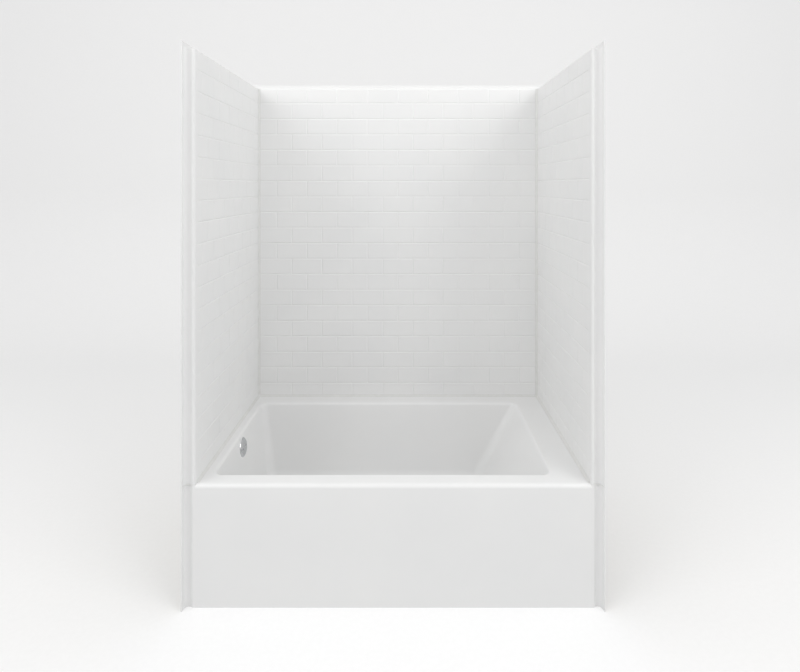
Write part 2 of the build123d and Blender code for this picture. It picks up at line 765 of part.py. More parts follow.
with BuildPart() as overflow_tube:
    tube_foot_z = tee_top - socket_depth + slip_gap
    tube_length = elbow_foot_z + socket_depth - slip_gap - tube_foot_z
    tube_foot = Plane((stack_x, basin_y, tube_foot_z))
    disc(tube_foot, tube_radius, tube_length)
    disc(tube_foot, tube_radius - tube_wall, tube_length, Mode.SUBTRACT)
overflow_tube.part.label = "overflow_tube"
export_step(overflow_tube.part, "parts/overflow_tube.step")

# Domed overflow plate on the face of the drain end, notched at its foot to let water in
with BuildPart() as overflow_plate:
    dome_run = plate_radius - plate_flat_radius
    dome_radius = (dome_run ** 2 + plate_height ** 2) / (2 * plate_height)
    dome_angle = degrees(atan2(dome_run, dome_radius - plate_height))
    dome_plane = Plane(overflow_face.origin, x_dir=overflow_face.x_dir, z_dir=-overflow_face.y_dir)
    with BuildSketch(dome_plane):
        with BuildLine():
            Line((0, plate_height), (plate_flat_radius, plate_height))
            CenterArc((plate_flat_radius, plate_height - dome_radius), dome_radius,
                      90 - dome_angle, dome_angle)
            Polyline((plate_radius, 0), (0, 0), (0, plate_height))
        make_face()
    revolve(axis=Axis(overflow_face.origin, overflow_face.z_dir))
    disc(overflow_face, plate_flat_radius, plate_height - plate_thickness, Mode.SUBTRACT)
    with BuildSketch(overflow_face):
        with Locations((0, -plate_radius)):
            Rectangle(plate_notch_width, 2 * (plate_notch_depth + plate_thickness + plate_thickness))
    extrude(amount=plate_notch_height, mode=Mode.SUBTRACT)
    with BuildSketch(overflow_face):
        with Locations(*screw_points):
            Circle(screw_radius + bolt_hole_gap)
    extrude(amount=plate_height, mode=Mode.SUBTRACT)
overflow_plate.part.label = "overflow_plate"
export_step(overflow_plate.part, "parts/overflow_plate.step")

with BuildPart() as overflow_screws:
    screw_seat = overflow_face.offset(plate_height)
    screw_length = plate_height + tub_thickness + overflow_gasket_thickness + elbow_bar_thickness
    with BuildSketch(screw_seat):
        with Locations(*screw_points):
            Circle(screw_head_radius)
    extrude(amount=screw_head_height)
    with BuildSketch(screw_seat):
        with Locations(*screw_points):
            Circle(screw_radius)
    extrude(amount=-screw_length)
    with BuildSketch(screw_seat.offset(screw_head_height)):
        with Locations(*screw_points):
            Rectangle(2 * screw_head_radius, screw_slot_width)
    extrude(amount=-screw_slot_depth, mode=Mode.SUBTRACT)
overflow_screws.part.label = "overflow_screws"
export_step(overflow_screws.part, "parts/overflow_screws.step")

# Drain shoe under the basin floor and the tube from it to the tee
gasket_low = under_z - drain_gasket_thickness
shoe_top = Plane((drain_x, basin_y, gasket_low))
shoe_axis = Plane((drain_x, basin_y, waste_axis_z), x_dir=(0, 1, 0), z_dir=(-1, 0, 0))
with BuildPart() as drain_gasket:
    disc(shoe_top, drain_gasket_radius, drain_gasket_thickness)
    disc(shoe_top, floor_hole_radius, drain_gasket_thickness, Mode.SUBTRACT)
drain_gasket.part.label = "drain_gasket"
export_step(drain_gasket.part, "parts/drain_gasket.step")

with BuildPart() as drain_shoe:
    disc(shoe_top, shoe_flange_radius, -shoe_flange_thickness)
    disc(shoe_top, shoe_radius, -shoe_depth)
    disc(shoe_axis, shoe_socket_radius, shoe_branch_length)
    disc(shoe_axis, socket_bore_radius, shoe_branch_length, Mode.SUBTRACT)
    disc(shoe_axis.offset(shoe_branch_length), tube_radius + slip_gap, -shoe_socket_depth,
         Mode.SUBTRACT)
    disc(shoe_top, drain_barrel_radius + thread_gap, shoe_bottom_thickness - shoe_depth,
         Mode.SUBTRACT)
drain_shoe.part.label = "drain_shoe"
export_step(drain_shoe.part, "parts/drain_shoe.step")

with BuildPart() as branch_tube:
    branch_end_x = branch_mouth.origin.X - socket_depth + slip_gap
    branch_start_x = drain_x - shoe_branch_length + shoe_socket_depth - slip_gap
    branch_start = Plane((branch_start_x, basin_y, waste_axis_z), x_dir=(0, 1, 0), z_dir=(-1, 0, 0))
    disc(branch_start, tube_radius, branch_start_x - branch_end_x)
    disc(branch_start, tube_radius - tube_wall, branch_start_x - branch_end_x, Mode.SUBTRACT)
branch_tube.part.label = "branch_tube"
export_step(branch_tube.part, "parts/branch_tube.step")

# Drain flange: disc on the basin floor, threaded barrel and the cross that carries the post
cross_z = floor_z - drain_barrel_length
cross_plane = Plane((drain_x, basin_y, cross_z))
disc_z = floor_z + drain_disc_thickness
with BuildPart() as drain_flange:
    disc(drain_floor, drain_disc_radius, drain_disc_thickness)
    chamfer(drain_flange.faces().sort_by(Axis.Z)[-1].edges(), drain_disc_thickness / 2)
    disc(cross_plane, drain_barrel_radius, drain_barrel_length)
    disc(cross_plane, drain_bore_radius, drain_barrel_length + drain_disc_thickness, Mode.SUBTRACT)
    with BuildSketch(cross_plane):
        Rectangle(2 * drain_barrel_radius - 2 * tube_wall, cross_bar_width)
        Rectangle(cross_bar_width, 2 * drain_barrel_radius - 2 * tube_wall)
        Circle(cross_boss_radius)
        Circle(post_radius + thread_gap, mode=Mode.SUBTRACT)
    extrude(amount=cross_bar_thickness)
drain_flange.part.label = "drain_flange"
export_step(drain_flange.part, "parts/drain_flange.step")

# Stopper: the sleeve slides on the post, the cap and its knob turn on the sleeve
with BuildPart() as stopper_post:
    disc(cross_plane, post_radius, post_height)
    chamfer(stopper_post.faces().sort_by(Axis.Z)[-1].edges(), post_radius / 4)
stopper_post.part.label = "stopper_post"
export_step(stopper_post.part, "parts/stopper_post.step")

seal_low = disc_z + seal_lift
collar_low = seal_low + stopper_seal_thickness
cap_low = collar_low + collar_thickness + running_gap
cap_top = cap_low + cap_thickness
seal_plane = Plane((drain_x, basin_y, seal_low))
collar_plane = Plane((drain_x, basin_y, collar_low))
cap_plane = Plane((drain_x, basin_y, cap_low))
knob_plane = Plane((drain_x, basin_y, cap_top))
with BuildPart() as stopper_sleeve:
    sleeve_low = disc_z - sleeve_below_disc
    sleeve_foot = Plane((drain_x, basin_y, sleeve_low))
    disc(sleeve_foot, sleeve_radius, cap_top - running_gap - sleeve_low)
    disc(collar_plane, collar_radius, collar_thickness)
    disc(sleeve_foot, post_radius + running_gap, cap_top - sleeve_low, Mode.SUBTRACT)
stopper_sleeve.part.label = "stopper_sleeve"
export_step(stopper_sleeve.part, "parts/stopper_sleeve.step")

with BuildPart() as stopper_seal:
    disc(seal_plane, stopper_seal_radius, stopper_seal_thickness)
    disc(seal_plane, sleeve_radius + running_gap, stopper_seal_thickness, Mode.SUBTRACT)
stopper_seal.part.label = "stopper_seal"
export_step(stopper_seal.part, "parts/stopper_seal.step")

with BuildPart() as stopper_cap:
    disc(cap_plane, cap_radius, cap_thickness)
    fillet(stopper_cap.faces().sort_by(Axis.Z)[-1].edges(), cap_edge_radius)
    disc(cap_plane, cap_radius, -cap_skirt_drop)
    disc(cap_plane, cap_radius - cap_skirt_width, -cap_skirt_drop, Mode.SUBTRACT)
    disc(cap_plane, sleeve_radius + running_gap, cap_thickness, Mode.SUBTRACT)
stopper_cap.part.label = "stopper_cap"
export_step(stopper_cap.part, "parts/stopper_cap.step")

with BuildPart() as stopper_knob:
    disc(knob_plane, knob_radius, knob_height)
    grip_plane = knob_plane.offset(knob_height - knob_grip_height)
    for side in (-1, 1):
        with BuildSketch(grip_plane):
            with Locations((0, side * knob_radius)):
                Rectangle(2 * knob_radius, 2 * knob_radius - knob_grip_width)
        extrude(amount=knob_grip_height, mode=Mode.SUBTRACT)
    fillet(stopper_knob.faces().sort_by(Axis.Z)[-1].edges(), knob_edge_radius)
stopper_knob.part.label = "stopper_knob"
export_step(stopper_knob.part, "parts/stopper_knob.step")
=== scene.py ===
"""Tub and shower unit: mouldings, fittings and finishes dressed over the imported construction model."""
import json
import logging
import math
from dataclasses import dataclass, replace
from enum import Enum
from typing import Callable, ClassVar, Iterable, Sequence

import bmesh
import bpy
import numpy as np
from mathutils import Matrix, Vector


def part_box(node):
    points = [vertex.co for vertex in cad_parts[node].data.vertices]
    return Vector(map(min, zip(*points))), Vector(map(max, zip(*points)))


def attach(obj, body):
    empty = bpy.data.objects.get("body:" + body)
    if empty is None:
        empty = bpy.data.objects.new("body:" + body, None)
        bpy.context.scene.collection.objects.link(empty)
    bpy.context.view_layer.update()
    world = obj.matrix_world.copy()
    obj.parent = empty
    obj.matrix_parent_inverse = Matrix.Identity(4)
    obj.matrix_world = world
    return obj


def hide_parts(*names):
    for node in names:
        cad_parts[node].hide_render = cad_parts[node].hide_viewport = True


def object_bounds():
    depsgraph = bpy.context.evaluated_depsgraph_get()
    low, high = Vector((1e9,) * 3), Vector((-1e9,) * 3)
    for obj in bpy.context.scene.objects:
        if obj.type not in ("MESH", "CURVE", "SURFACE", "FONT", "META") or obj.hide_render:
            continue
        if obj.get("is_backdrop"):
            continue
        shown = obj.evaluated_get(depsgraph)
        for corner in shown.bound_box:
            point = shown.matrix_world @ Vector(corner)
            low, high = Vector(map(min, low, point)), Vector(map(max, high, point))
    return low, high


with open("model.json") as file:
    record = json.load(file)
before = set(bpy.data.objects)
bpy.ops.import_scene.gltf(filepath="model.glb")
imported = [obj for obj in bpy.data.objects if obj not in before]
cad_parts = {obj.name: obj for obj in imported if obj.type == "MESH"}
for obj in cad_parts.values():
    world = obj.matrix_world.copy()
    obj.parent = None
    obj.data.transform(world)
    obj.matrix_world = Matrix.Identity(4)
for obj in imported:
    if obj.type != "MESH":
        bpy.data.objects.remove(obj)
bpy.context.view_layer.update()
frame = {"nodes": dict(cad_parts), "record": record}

LOG = logging.getLogger("tub_and_shower_unit")

Point2 = tuple[float, float]
Point3 = tuple[float, float, float]
Colour = tuple[float, float, float]
WHITE = (1.0, 1.0, 1.0, 1.0)

# A moulding's two materials by index: its finished face and its raw back.
FINISHED, RAW = 0, 1
# Distances in metres: the least gap between two lines of a grid, the reach in which vertices merge, and
# what counts as nothing.
LEAST_GAP, WELD, TINY = 2e-4, 1e-5, 1e-6


# Node trees

class Wiring:
    """Adds the nodes of one tree and joins them."""

    def __init__(self, tree: bpy.types.NodeTree) -> None:
        """Start on an empty tree.

        Args:
            tree: the tree that the nodes go into.
        """
        self.tree = tree
        self.tree.nodes.clear()

    def add(self, kind: str, **settings: object) -> bpy.types.Node:
        """Add one node.

        Args:
            kind: the node's type, such as ShaderNodeMath.
            settings: the node's own properties.

        Returns:
            The new node.
        """
        node = self.tree.nodes.new(kind)
        for name, value in settings.items():
            setattr(node, name, value)
        return node

    def feed(self, target: bpy.types.NodeSocket, value: object) -> None:
        """Join a socket to another one, or give it a plain value.

        Args:
            target: the input socket.
            value: an output socket, or the value itself.
        """
        if isinstance(value, bpy.types.NodeSocket):
            self.tree.links.new(value, target)
        else:
            target.default_value = value

    def math(self, operation: str, *values: object) -> bpy.types.NodeSocket:
        """Add a math node.

        Args:
            operation: the operation's name.
            values: sockets or numbers, in order.

        Returns:
            The result's socket.
        """
        node = self.add("ShaderNodeMath", operation=operation)
        for socket, value in zip(node.inputs, values):
            self.feed(socket, value)
        return node.outputs[0]

    def ramp(self, value: object, low: float, high: float, start: object = 0.0, end: object = 1.0,
             smooth: bool = False) -> bpy.types.NodeSocket:
        """Map a range of values to another one, clamped.

        Args:
            value: the socket to map.
            low: the value that becomes start.
            high: the value that becomes end.
            start: the result at low.
            end: the result at high.
            smooth: ease in and out instead of a straight ramp.

        Returns:
            The result's socket.
        """
        node = self.add("ShaderNodeMapRange", interpolation_type="SMOOTHSTEP" if smooth else "LINEAR")
        for socket, item in zip(node.inputs, (value, low, high, start, end)):
            self.feed(socket, item)
        return node.outputs[0]

    def seen(self) -> bpy.types.NodeSocket:
        """1 where the camera, a reflection or a see-through piece looks straight at a surface.

        Returns:
            The value's socket.
        """
        path = self.add("ShaderNodeLightPath").outputs
        direct = self.math("MAXIMUM", path["Is Camera Ray"], path["Is Glossy Ray"])
        return self.math("MAXIMUM", direct, path["Is Transmission Ray"])


class Surface(Wiring):
    """The node tree of one material, with its shader and its coordinates ready."""

    def __init__(self, name: str) -> None:
        """Make the material.

        Args:
            name: the material's name.
        """
        self.material = bpy.data.materials.new(name)
        self.material.use_nodes = True
        super().__init__(self.material.node_tree)
        output = self.add("ShaderNodeOutputMaterial")
        self.shader = self.add("ShaderNodeBsdfPrincipled")
        self.feed(output.inputs["Surface"], self.shader.outputs["BSDF"])
        self.place = self.add("ShaderNodeTexCoord").outputs["Object"]

    def set(self, **values: object) -> None:
        """Set the shader's sockets by name, with underscores for spaces.

        Args:
            values: plain values or sockets.
        """
        names = {socket.name.lower().replace(" ", "_"): socket for socket in self.shader.inputs}
        for name, value in values.items():
            self.feed(names[name], value)

    def stretched(self, scale: Point3) -> bpy.types.NodeSocket:
        """Object coordinates scaled along each axis.

        Args:
            scale: the scale along each axis.

        Returns:
            The coordinates' socket.
        """
        node = self.add("ShaderNodeMapping")
        self.feed(node.inputs["Vector"], self.place)
        node.inputs["Scale"].default_value = scale
        return node.outputs["Vector"]

    def strands(self, length: float, width: float, turn: Point3) -> bpy.types.NodeSocket:
        """Distance from the middle of strands that lie along one direction.

        Args:
            length: how long a strand is.
            width: how far apart strands lie.
            turn: the turn of their direction from X, in radians.

        Returns:
            The distance's socket, in strand widths.
        """
        node = self.add("ShaderNodeMapping", vector_type="TEXTURE")
        self.feed(node.inputs["Vector"], self.place)
        node.inputs["Scale"].default_value = (length, width, width)
        node.inputs["Rotation"].default_value = turn
        cells = self.add("ShaderNodeTexVoronoi")
        self.feed(cells.inputs["Vector"], node.outputs["Vector"])
        cells.inputs["Scale"].default_value = 1.0
        return cells.outputs["Distance"]

    def noise(self, scale: float, detail: float = 2.0, roughness: float = 0.5,
              vector: object = None) -> bpy.types.NodeSocket:
        """Smooth noise.

        Args:
            scale: how many blobs fit a metre.
            detail: how many finer layers it has.
            roughness: how strong the finer layers are.
            vector: the coordinates, or None for Object coordinates.

        Returns:
            The noise value's socket.
        """
        node = self.add("ShaderNodeTexNoise")
        self.feed(node.inputs["Vector"], vector or self.place)
        node.inputs["Scale"].default_value = scale
        node.inputs["Detail"].default_value = detail
        node.inputs["Roughness"].default_value = roughness
        return node.outputs["Fac"]

    def mix(self, share: object, first: object, second: object) -> bpy.types.NodeSocket:
        """Mix two colours.

        Args:
            share: how much of the second colour there is.
            first: a colour or its socket.
            second: a colour or its socket.

        Returns:
            The mixed colour's socket.
        """
        node = self.add("ShaderNodeMix", data_type="RGBA")
        self.feed(node.inputs["Factor"], share)
        for name, value in (("A", first), ("B", second)):
            socket = [item for item in node.inputs if item.name == name and item.type == "RGBA"][0]
            self.feed(socket, value if isinstance(value, bpy.types.NodeSocket) else (*value, 1.0))
        return [item for item in node.outputs if item.type == "RGBA"][0]

    def bump(self, height: bpy.types.NodeSocket, strength: float, distance: float,
             under: object = None) -> bpy.types.NodeSocket:
        """Turn a height into a normal.

        Args:
            height: the height's socket.
            strength: how much of it shows.
            distance: the height of the relief in metres.
            under: the normal of a coarser bump, or None.

        Returns:
            The normal's socket.
        """
        node = self.add("ShaderNodeBump")
        node.inputs["Strength"].default_value = strength
        node.inputs["Distance"].default_value = distance
        self.feed(node.inputs["Height"], height)
        if under is not None:
            self.feed(node.inputs["Normal"], under)
        return node.outputs["Normal"]


# Finishes

# In a finish, a scale is in blobs a metre, a span is the two values that a ramp runs between, and a
# relief is its strength and its height in metres.

class Grain(Enum):
    """The axis that the grain of a timber piece follows, as the scale of its pattern."""

    X = (0.04, 1.0, 1.0)
    Y = (1.0, 0.04, 1.0)
    Z = (1.0, 1.0, 0.04)


@dataclass(frozen=True)
class Plating:
    """One metal surface: its colour and stains, its roughness where polished and worn, and its relief."""

    colour: Colour
    stain: Colour
    smooth: float
    worn: float
    relief: float


class Plate(Enum):
    """The metals and platings of the unit's trim and fasteners."""

    CHROME = Plating((0.62, 0.63, 0.645), (0.54, 0.55, 0.57), 0.05, 0.12, 0.04)
    ZINC = Plating((0.60, 0.61, 0.62), (0.47, 0.47, 0.45), 0.3, 0.5, 0.25)
    BRASS = Plating((0.66, 0.50, 0.25), (0.46, 0.32, 0.16), 0.3, 0.55, 0.3)


@dataclass(frozen=True)
class Gelcoat:
    """Glossy white gelcoat of the finished faces."""

    white: Colour = (0.85, 0.85, 0.845)
    clouded: Colour = (0.83, 0.832, 0.83)
    roughness: Point2 = (0.34, 0.42)
    cloud_scale: float = 3.0
    cloud_span: Point2 = (0.35, 0.7)
    mottle_scale: float = 14.0
    mottle_span: Point2 = (0.3, 0.75)
    ripple_scale: float = 7.0
    ripple_relief: Point2 = (0.2, 0.0005)
    pore_scale: float = 420.0
    pore_relief: Point2 = (0.1, 0.0002)
    ior: float = 1.5
    coat: float = 0.1
    coat_roughness: float = 0.14

    def build(self) -> bpy.types.Material:
        """Make the material.

        Returns:
            The material.
        """
        surface = Surface("white_gelcoat")
        cloud = surface.ramp(surface.noise(self.cloud_scale, 3.0), *self.cloud_span)
        mottle = surface.noise(self.mottle_scale, 3.0)
        surface.set(
            base_color=surface.mix(cloud, self.white, self.clouded),
            roughness=surface.ramp(mottle, *self.mottle_span, *self.roughness),
            ior=self.ior, coat_weight=self.coat, coat_roughness=self.coat_roughness,
        )
        ripple = surface.bump(surface.noise(self.ripple_scale, 1.0), *self.ripple_relief)
        surface.set(normal=surface.bump(surface.noise(self.pore_scale), *self.pore_relief, ripple))
        return surface.material


@dataclass(frozen=True)
class Laminate:
    """Raw back of the sheets: chopped glass strands in cured resin."""

    resin: Colour = (0.58, 0.57, 0.47)
    strand: Colour = (0.74, 0.735, 0.66)
    roughness: Point2 = (0.3, 0.55)
    strand_length: float = 0.045
    strand_width: float = 0.0042
    strand_span: Point2 = (0.15, 0.34)
    strand_relief: Point2 = (0.4, 0.0006)
    upright: float = math.pi / 2
    strand_turns: tuple[Point3, ...] = ((0.0, 0.45, 0.0), (0.0, -0.6, 0.0), (0.0, 0.5, upright),
                                        (0.0, -0.65, upright), (0.0, 1.5, 0.3), (0.0, 0.0, 0.3),
                                        (0.0, 0.0, 1.3), (0.0, 0.0, 2.4))
    wet_scale: float = 7.0
    wet_span: Point2 = (0.4, 0.8)
    wet_share: float = 0.35
    wet_relief: Point2 = (0.5, 0.003)

    def build(self) -> bpy.types.Material:
        """Make the material.

        Returns:
            The material.
        """
        surface = Surface("glass_fibre_laminate")
        strands = None
        for turn in self.strand_turns:
            near = surface.strands(self.strand_length, self.strand_width, turn)
            layer = surface.ramp(near, *self.strand_span, 1.0, 0.0)
            strands = layer if strands is None else surface.math("MAXIMUM", strands, layer)
        wet = surface.noise(self.wet_scale, 4.0)
        pooled = surface.ramp(wet, *self.wet_span, 0.0, self.wet_share)
        colour = surface.mix(strands, self.resin, self.strand)
        surface.set(
            base_color=surface.mix(pooled, colour, self.resin),
            roughness=surface.ramp(strands, 0.0, 1.0, *self.roughness),
        )
        rough = surface.bump(wet, *self.wet_relief)
        surface.set(normal=surface.bump(strands, *self.strand_relief, rough))
        return surface.material


@dataclass(frozen=True)
class Silicone:
    """Satin white sealant, smoothed with a finger."""

    white: Colour = (0.76, 0.76, 0.75)
    shaded: Colour = (0.72, 0.72, 0.70)
    roughness: Point2 = (0.32, 0.45)
    drag_scale: float = 55.0
    drag_span: Point2 = (0.3, 0.8)
    drag_relief: Point2 = (0.2, 0.0008)

    def build(self) -> bpy.types.Material:
        """Make the material.

        Returns:
            The material.
        """
        surface = Surface("white_sealant")
        drag = surface.noise(self.drag_scale, 3.0)
        surface.set(
            base_color=surface.mix(surface.ramp(drag, *self.drag_span), self.white, self.shaded),
            roughness=surface.ramp(drag, *self.drag_span, *self.roughness),
            normal=surface.bump(drag, *self.drag_relief),
        )
        return surface.material


@dataclass(frozen=True)
class Metal:
    """A plated or rough metal."""

    plate: Plate
    patch_scale: float = 38.0
    stain_span: Point2 = (0.45, 0.8)
    wear_span: Point2 = (0.35, 0.75)
    fine_scale: float = 900.0
    fine_height: float = 0.0003

    def build(self) -> bpy.types.Material:
        """Make the material.

        Returns:
            The material.
        """
        look = self.plate.value
        surface = Surface(self.plate.name.lower() + "_metal")
        patch = surface.noise(self.patch_scale, 5.0, 0.6)
        surface.set(
            metallic=1.0,
            base_color=surface.mix(surface.ramp(patch, *self.stain_span), look.colour, look.stain),
            roughness=surface.ramp(patch, *self.wear_span, look.smooth, look.worn),
            normal=surface.bump(surface.noise(self.fine_scale), look.relief, self.fine_height),
        )
        return surface.material


@dataclass(frozen=True)
class Rubber:
    """Black moulded rubber with a faint bloom."""

    black: Colour = (0.022, 0.022, 0.023)
    bloomed: Colour = (0.06, 0.06, 0.062)
    roughness: Point2 = (0.5, 0.75)
    bloom_scale: float = 70.0
    bloom_span: Point2 = (0.5, 0.8)
    dull_span: Point2 = (0.3, 0.8)
    pebble_scale: float = 1400.0
    pebble_relief: Point2 = (0.3, 0.0002)

    def build(self) -> bpy.types.Material:
        """Make the material.

        Returns:
            The material.
        """
        surface = Surface("black_rubber")
        bloom = surface.noise(self.bloom_scale, 4.0)
        surface.set(
            base_color=surface.mix(surface.ramp(bloom, *self.bloom_span), self.black, self.bloomed),
            roughness=surface.ramp(bloom, *self.dull_span, *self.roughness),
            normal=surface.bump(surface.noise(self.pebble_scale), *self.pebble_relief),
        )
        return surface.material


@dataclass(frozen=True)
class Softwood:
    """Planed softwood with growth rings along its length."""

    grain: Grain
    early: Colour = (0.66, 0.47, 0.27)
    late: Colour = (0.43, 0.25, 0.11)
    roughness: Point2 = (0.6, 0.8)
    relief: Point2 = (0.35, 0.0006)
    warp_scale: float = 9.0
    rings: float = 95.0
    ring_span: Point2 = (-0.2, 1.0)
    ring_share: float = 0.7
    fibre_scale: float = 520.0
    fibre_span: Point2 = (0.3, 0.7)
    fibre_share: float = 0.35

    def build(self) -> bpy.types.Material:
        """Make the material.

        Returns:
            The material.
        """
        surface = Surface("softwood_along_" + self.grain.name.lower())
        along = surface.stretched(self.grain.value)
        warp = surface.noise(self.warp_scale, vector=along)
        rings = surface.math("SINE", surface.math("MULTIPLY", warp, self.rings))
        band = surface.math("MULTIPLY", surface.ramp(rings, *self.ring_span), self.ring_share)
        fibre = surface.noise(self.fibre_scale, 3.0, vector=along)
        tone = surface.math("ADD", band, surface.math("MULTIPLY", fibre, self.fibre_share))
        surface.set(
            base_color=surface.mix(tone, self.early, self.late),
            roughness=surface.ramp(fibre, *self.fibre_span, *self.roughness),
            normal=surface.bump(tone, *self.relief),
        )
        return surface.material


@dataclass(frozen=True)
class Plywood:
    """Plywood: crossed veneers through the thickness of the sheet."""

    name: str
    across: Grain
    ply: float
    first: float
    pale: Colour = (0.62, 0.45, 0.27)
    brown: Colour = (0.42, 0.27, 0.14)
    roughness: Point2 = (0.58, 0.8)
    relief: Point2 = (0.4, 0.0006)
    tone_span: Point2 = (0.2, 0.8)
    crossed_tone: float = 0.18
    warp_scale: float = 6.0
    rings: float = 42.0
    ring_span: Point2 = (-0.4, 1.0)
    ring_share: float = 0.45
    fibre_scale: float = 430.0
    fibre_share: float = 0.4

    def veneer(self, surface: Surface, grain: Grain) -> bpy.types.NodeSocket:
        """The tone of one veneer.

        Args:
            surface: the material's tree.
            grain: the axis of the veneer's grain.

        Returns:
            The tone's socket, 0 where it is palest.
        """
        along = surface.stretched(grain.value)
        warp = surface.noise(self.warp_scale, vector=along)
        rings = surface.math("SINE", surface.math("MULTIPLY", warp, self.rings))
        fibre = surface.noise(self.fibre_scale, 3.0, vector=along)
        return surface.math("ADD", surface.ramp(rings, *self.ring_span, 0.0, self.ring_share),
                            surface.math("MULTIPLY", fibre, self.fibre_share))

    def build(self) -> bpy.types.Material:
        """Make the material.

        Returns:
            The material.
        """
        surface = Surface(self.name)
        split = surface.add("ShaderNodeSeparateXYZ")
        surface.feed(split.inputs[0], surface.place)
        depth = surface.math("SUBTRACT", split.outputs[self.across.name], self.first)
        layer = surface.math("FLOOR", surface.math("DIVIDE", depth, self.ply))
        odd = surface.math("ABSOLUTE", surface.math("MODULO", layer, 2.0))
        first, second = [self.veneer(surface, grain) for grain in Grain if grain is not self.across]
        pick = surface.add("ShaderNodeMix", data_type="FLOAT")
        for socket, value in zip((pick.inputs["Factor"], pick.inputs[2], pick.inputs[3]),
                                 (odd, second, first)):
            surface.feed(socket, value)
        tone = surface.math("ADD", pick.outputs[0], surface.math("MULTIPLY", odd, self.crossed_tone))
        surface.set(
            base_color=surface.mix(tone, self.pale, self.brown),
            roughness=surface.ramp(tone, *self.tone_span, *self.roughness),
            normal=surface.bump(tone, *self.relief),
        )
        return surface.material


@dataclass(frozen=True)
class Paper:
    """Pale matt paper of the floor and the backdrop, a little brighter where it is looked at."""

    pale: Colour = (0.65, 0.65, 0.65)
    light: Colour = (0.67, 0.67, 0.67)
    roughness: Point2 = (0.85, 0.95)
    grain_scale: float = 60.0
    grain_span: Point2 = (0.3, 0.7)
    grain_relief: Point2 = (0.05, 0.0005)
    lift: float = 0.30

    def build(self) -> bpy.types.Material:
        """Make the material.

        Returns:
            The material.
        """
        surface = Surface("pale_paper")
        grain = surface.noise(self.grain_scale, 4.0)
        surface.set(
            base_color=surface.mix(surface.ramp(grain, *self.grain_span), self.pale, self.light),
            roughness=surface.ramp(grain, *self.grain_span, *self.roughness),
            normal=surface.bump(grain, *self.grain_relief),
            emission_color=WHITE,
            emission_strength=surface.math("MULTIPLY", surface.seen(), self.lift),
        )
        return surface.material


# Mesh building

def arc(centre: Point2, radius: float, start: float, end: float, steps: int) -> list[Point2]:
    """Points on an arc.

    Args:
        centre: the arc's centre.
        radius: the arc's radius.
        start: the first angle in degrees.
        end: the last angle in degrees.
        steps: how many chords it has.

    Returns:
        The points, both ends included.
    """
    angles = np.radians(np.linspace(start, end, steps + 1))
    return [(centre[0] + radius * math.cos(angle), centre[1] + radius * math.sin(angle))
            for angle in angles]


def merge_sorted(values: Iterable[float], low: float, high: float) -> list[float]:
    """Sort places on a line, keep those inside its ends and drop those that nearly meet.

    Args:
        values: the places.
        low: the line's start, which is kept.
        high: the line's end, which is kept.

    Returns:
        The places from low to high.
    """
    kept = [low]
    for value in sorted(values):
        if kept[-1] + LEAST_GAP < value < high - LEAST_GAP:
            kept.append(value)
    kept.append(high)
    return kept


def grid_faces(rows: int, columns: int) -> list[tuple[int, int, int, int]]:
    """Quads of a grid whose vertices run along each row.

    Args:
        rows: how many rows of vertices there are.
        columns: how many vertices a row has.

    Returns:
        The quads, wound so that row direction cross column direction points outwards.
    """
    faces = []
    for row in range(rows - 1):
        for column in range(columns - 1):
            corner = row * columns + column
            faces.append((corner, corner + 1, corner + columns + 1, corner + columns))
    return faces


def add_box(mesh: bmesh.types.BMesh, low: Point3, high: Point3, bevel: float, material: int) -> None:
    """Add a box with rounded edges.

    Args:
        mesh: the mesh that gets it.
        low: the box's lowest corner.
        high: the box's highest corner.
        bevel: the width of its rounded edges.
        material: the index of its material.
    """
    size = Vector(high) - Vector(low)
    middle = (Vector(high) + Vector(low)) / 2
    place = Matrix.Translation(middle) @ Matrix.Diagonal((*size, 1))
    made = bmesh.ops.create_cube(mesh, size=1.0, matrix=place)
    edges = list({edge for vertex in made["verts"] for edge in vertex.link_edges})
    faces = {face for vertex in made["verts"] for face in vertex.link_faces}
    for face in faces:
        face.material_index = material
    bmesh.ops.bevel(mesh, geom=edges, offset=bevel, segments=2, affect="EDGES", profile=0.5,
                    clamp_overlap=True)


def paint(mesh: bpy.types.Mesh, *finishes: bpy.types.Material) -> None:
    """Give a mesh its materials.

    Args:
        mesh: the mesh.
        finishes: its materials, by index.
    """
    mesh.materials.clear()
    for finish in finishes:
        mesh.materials.append(finish)


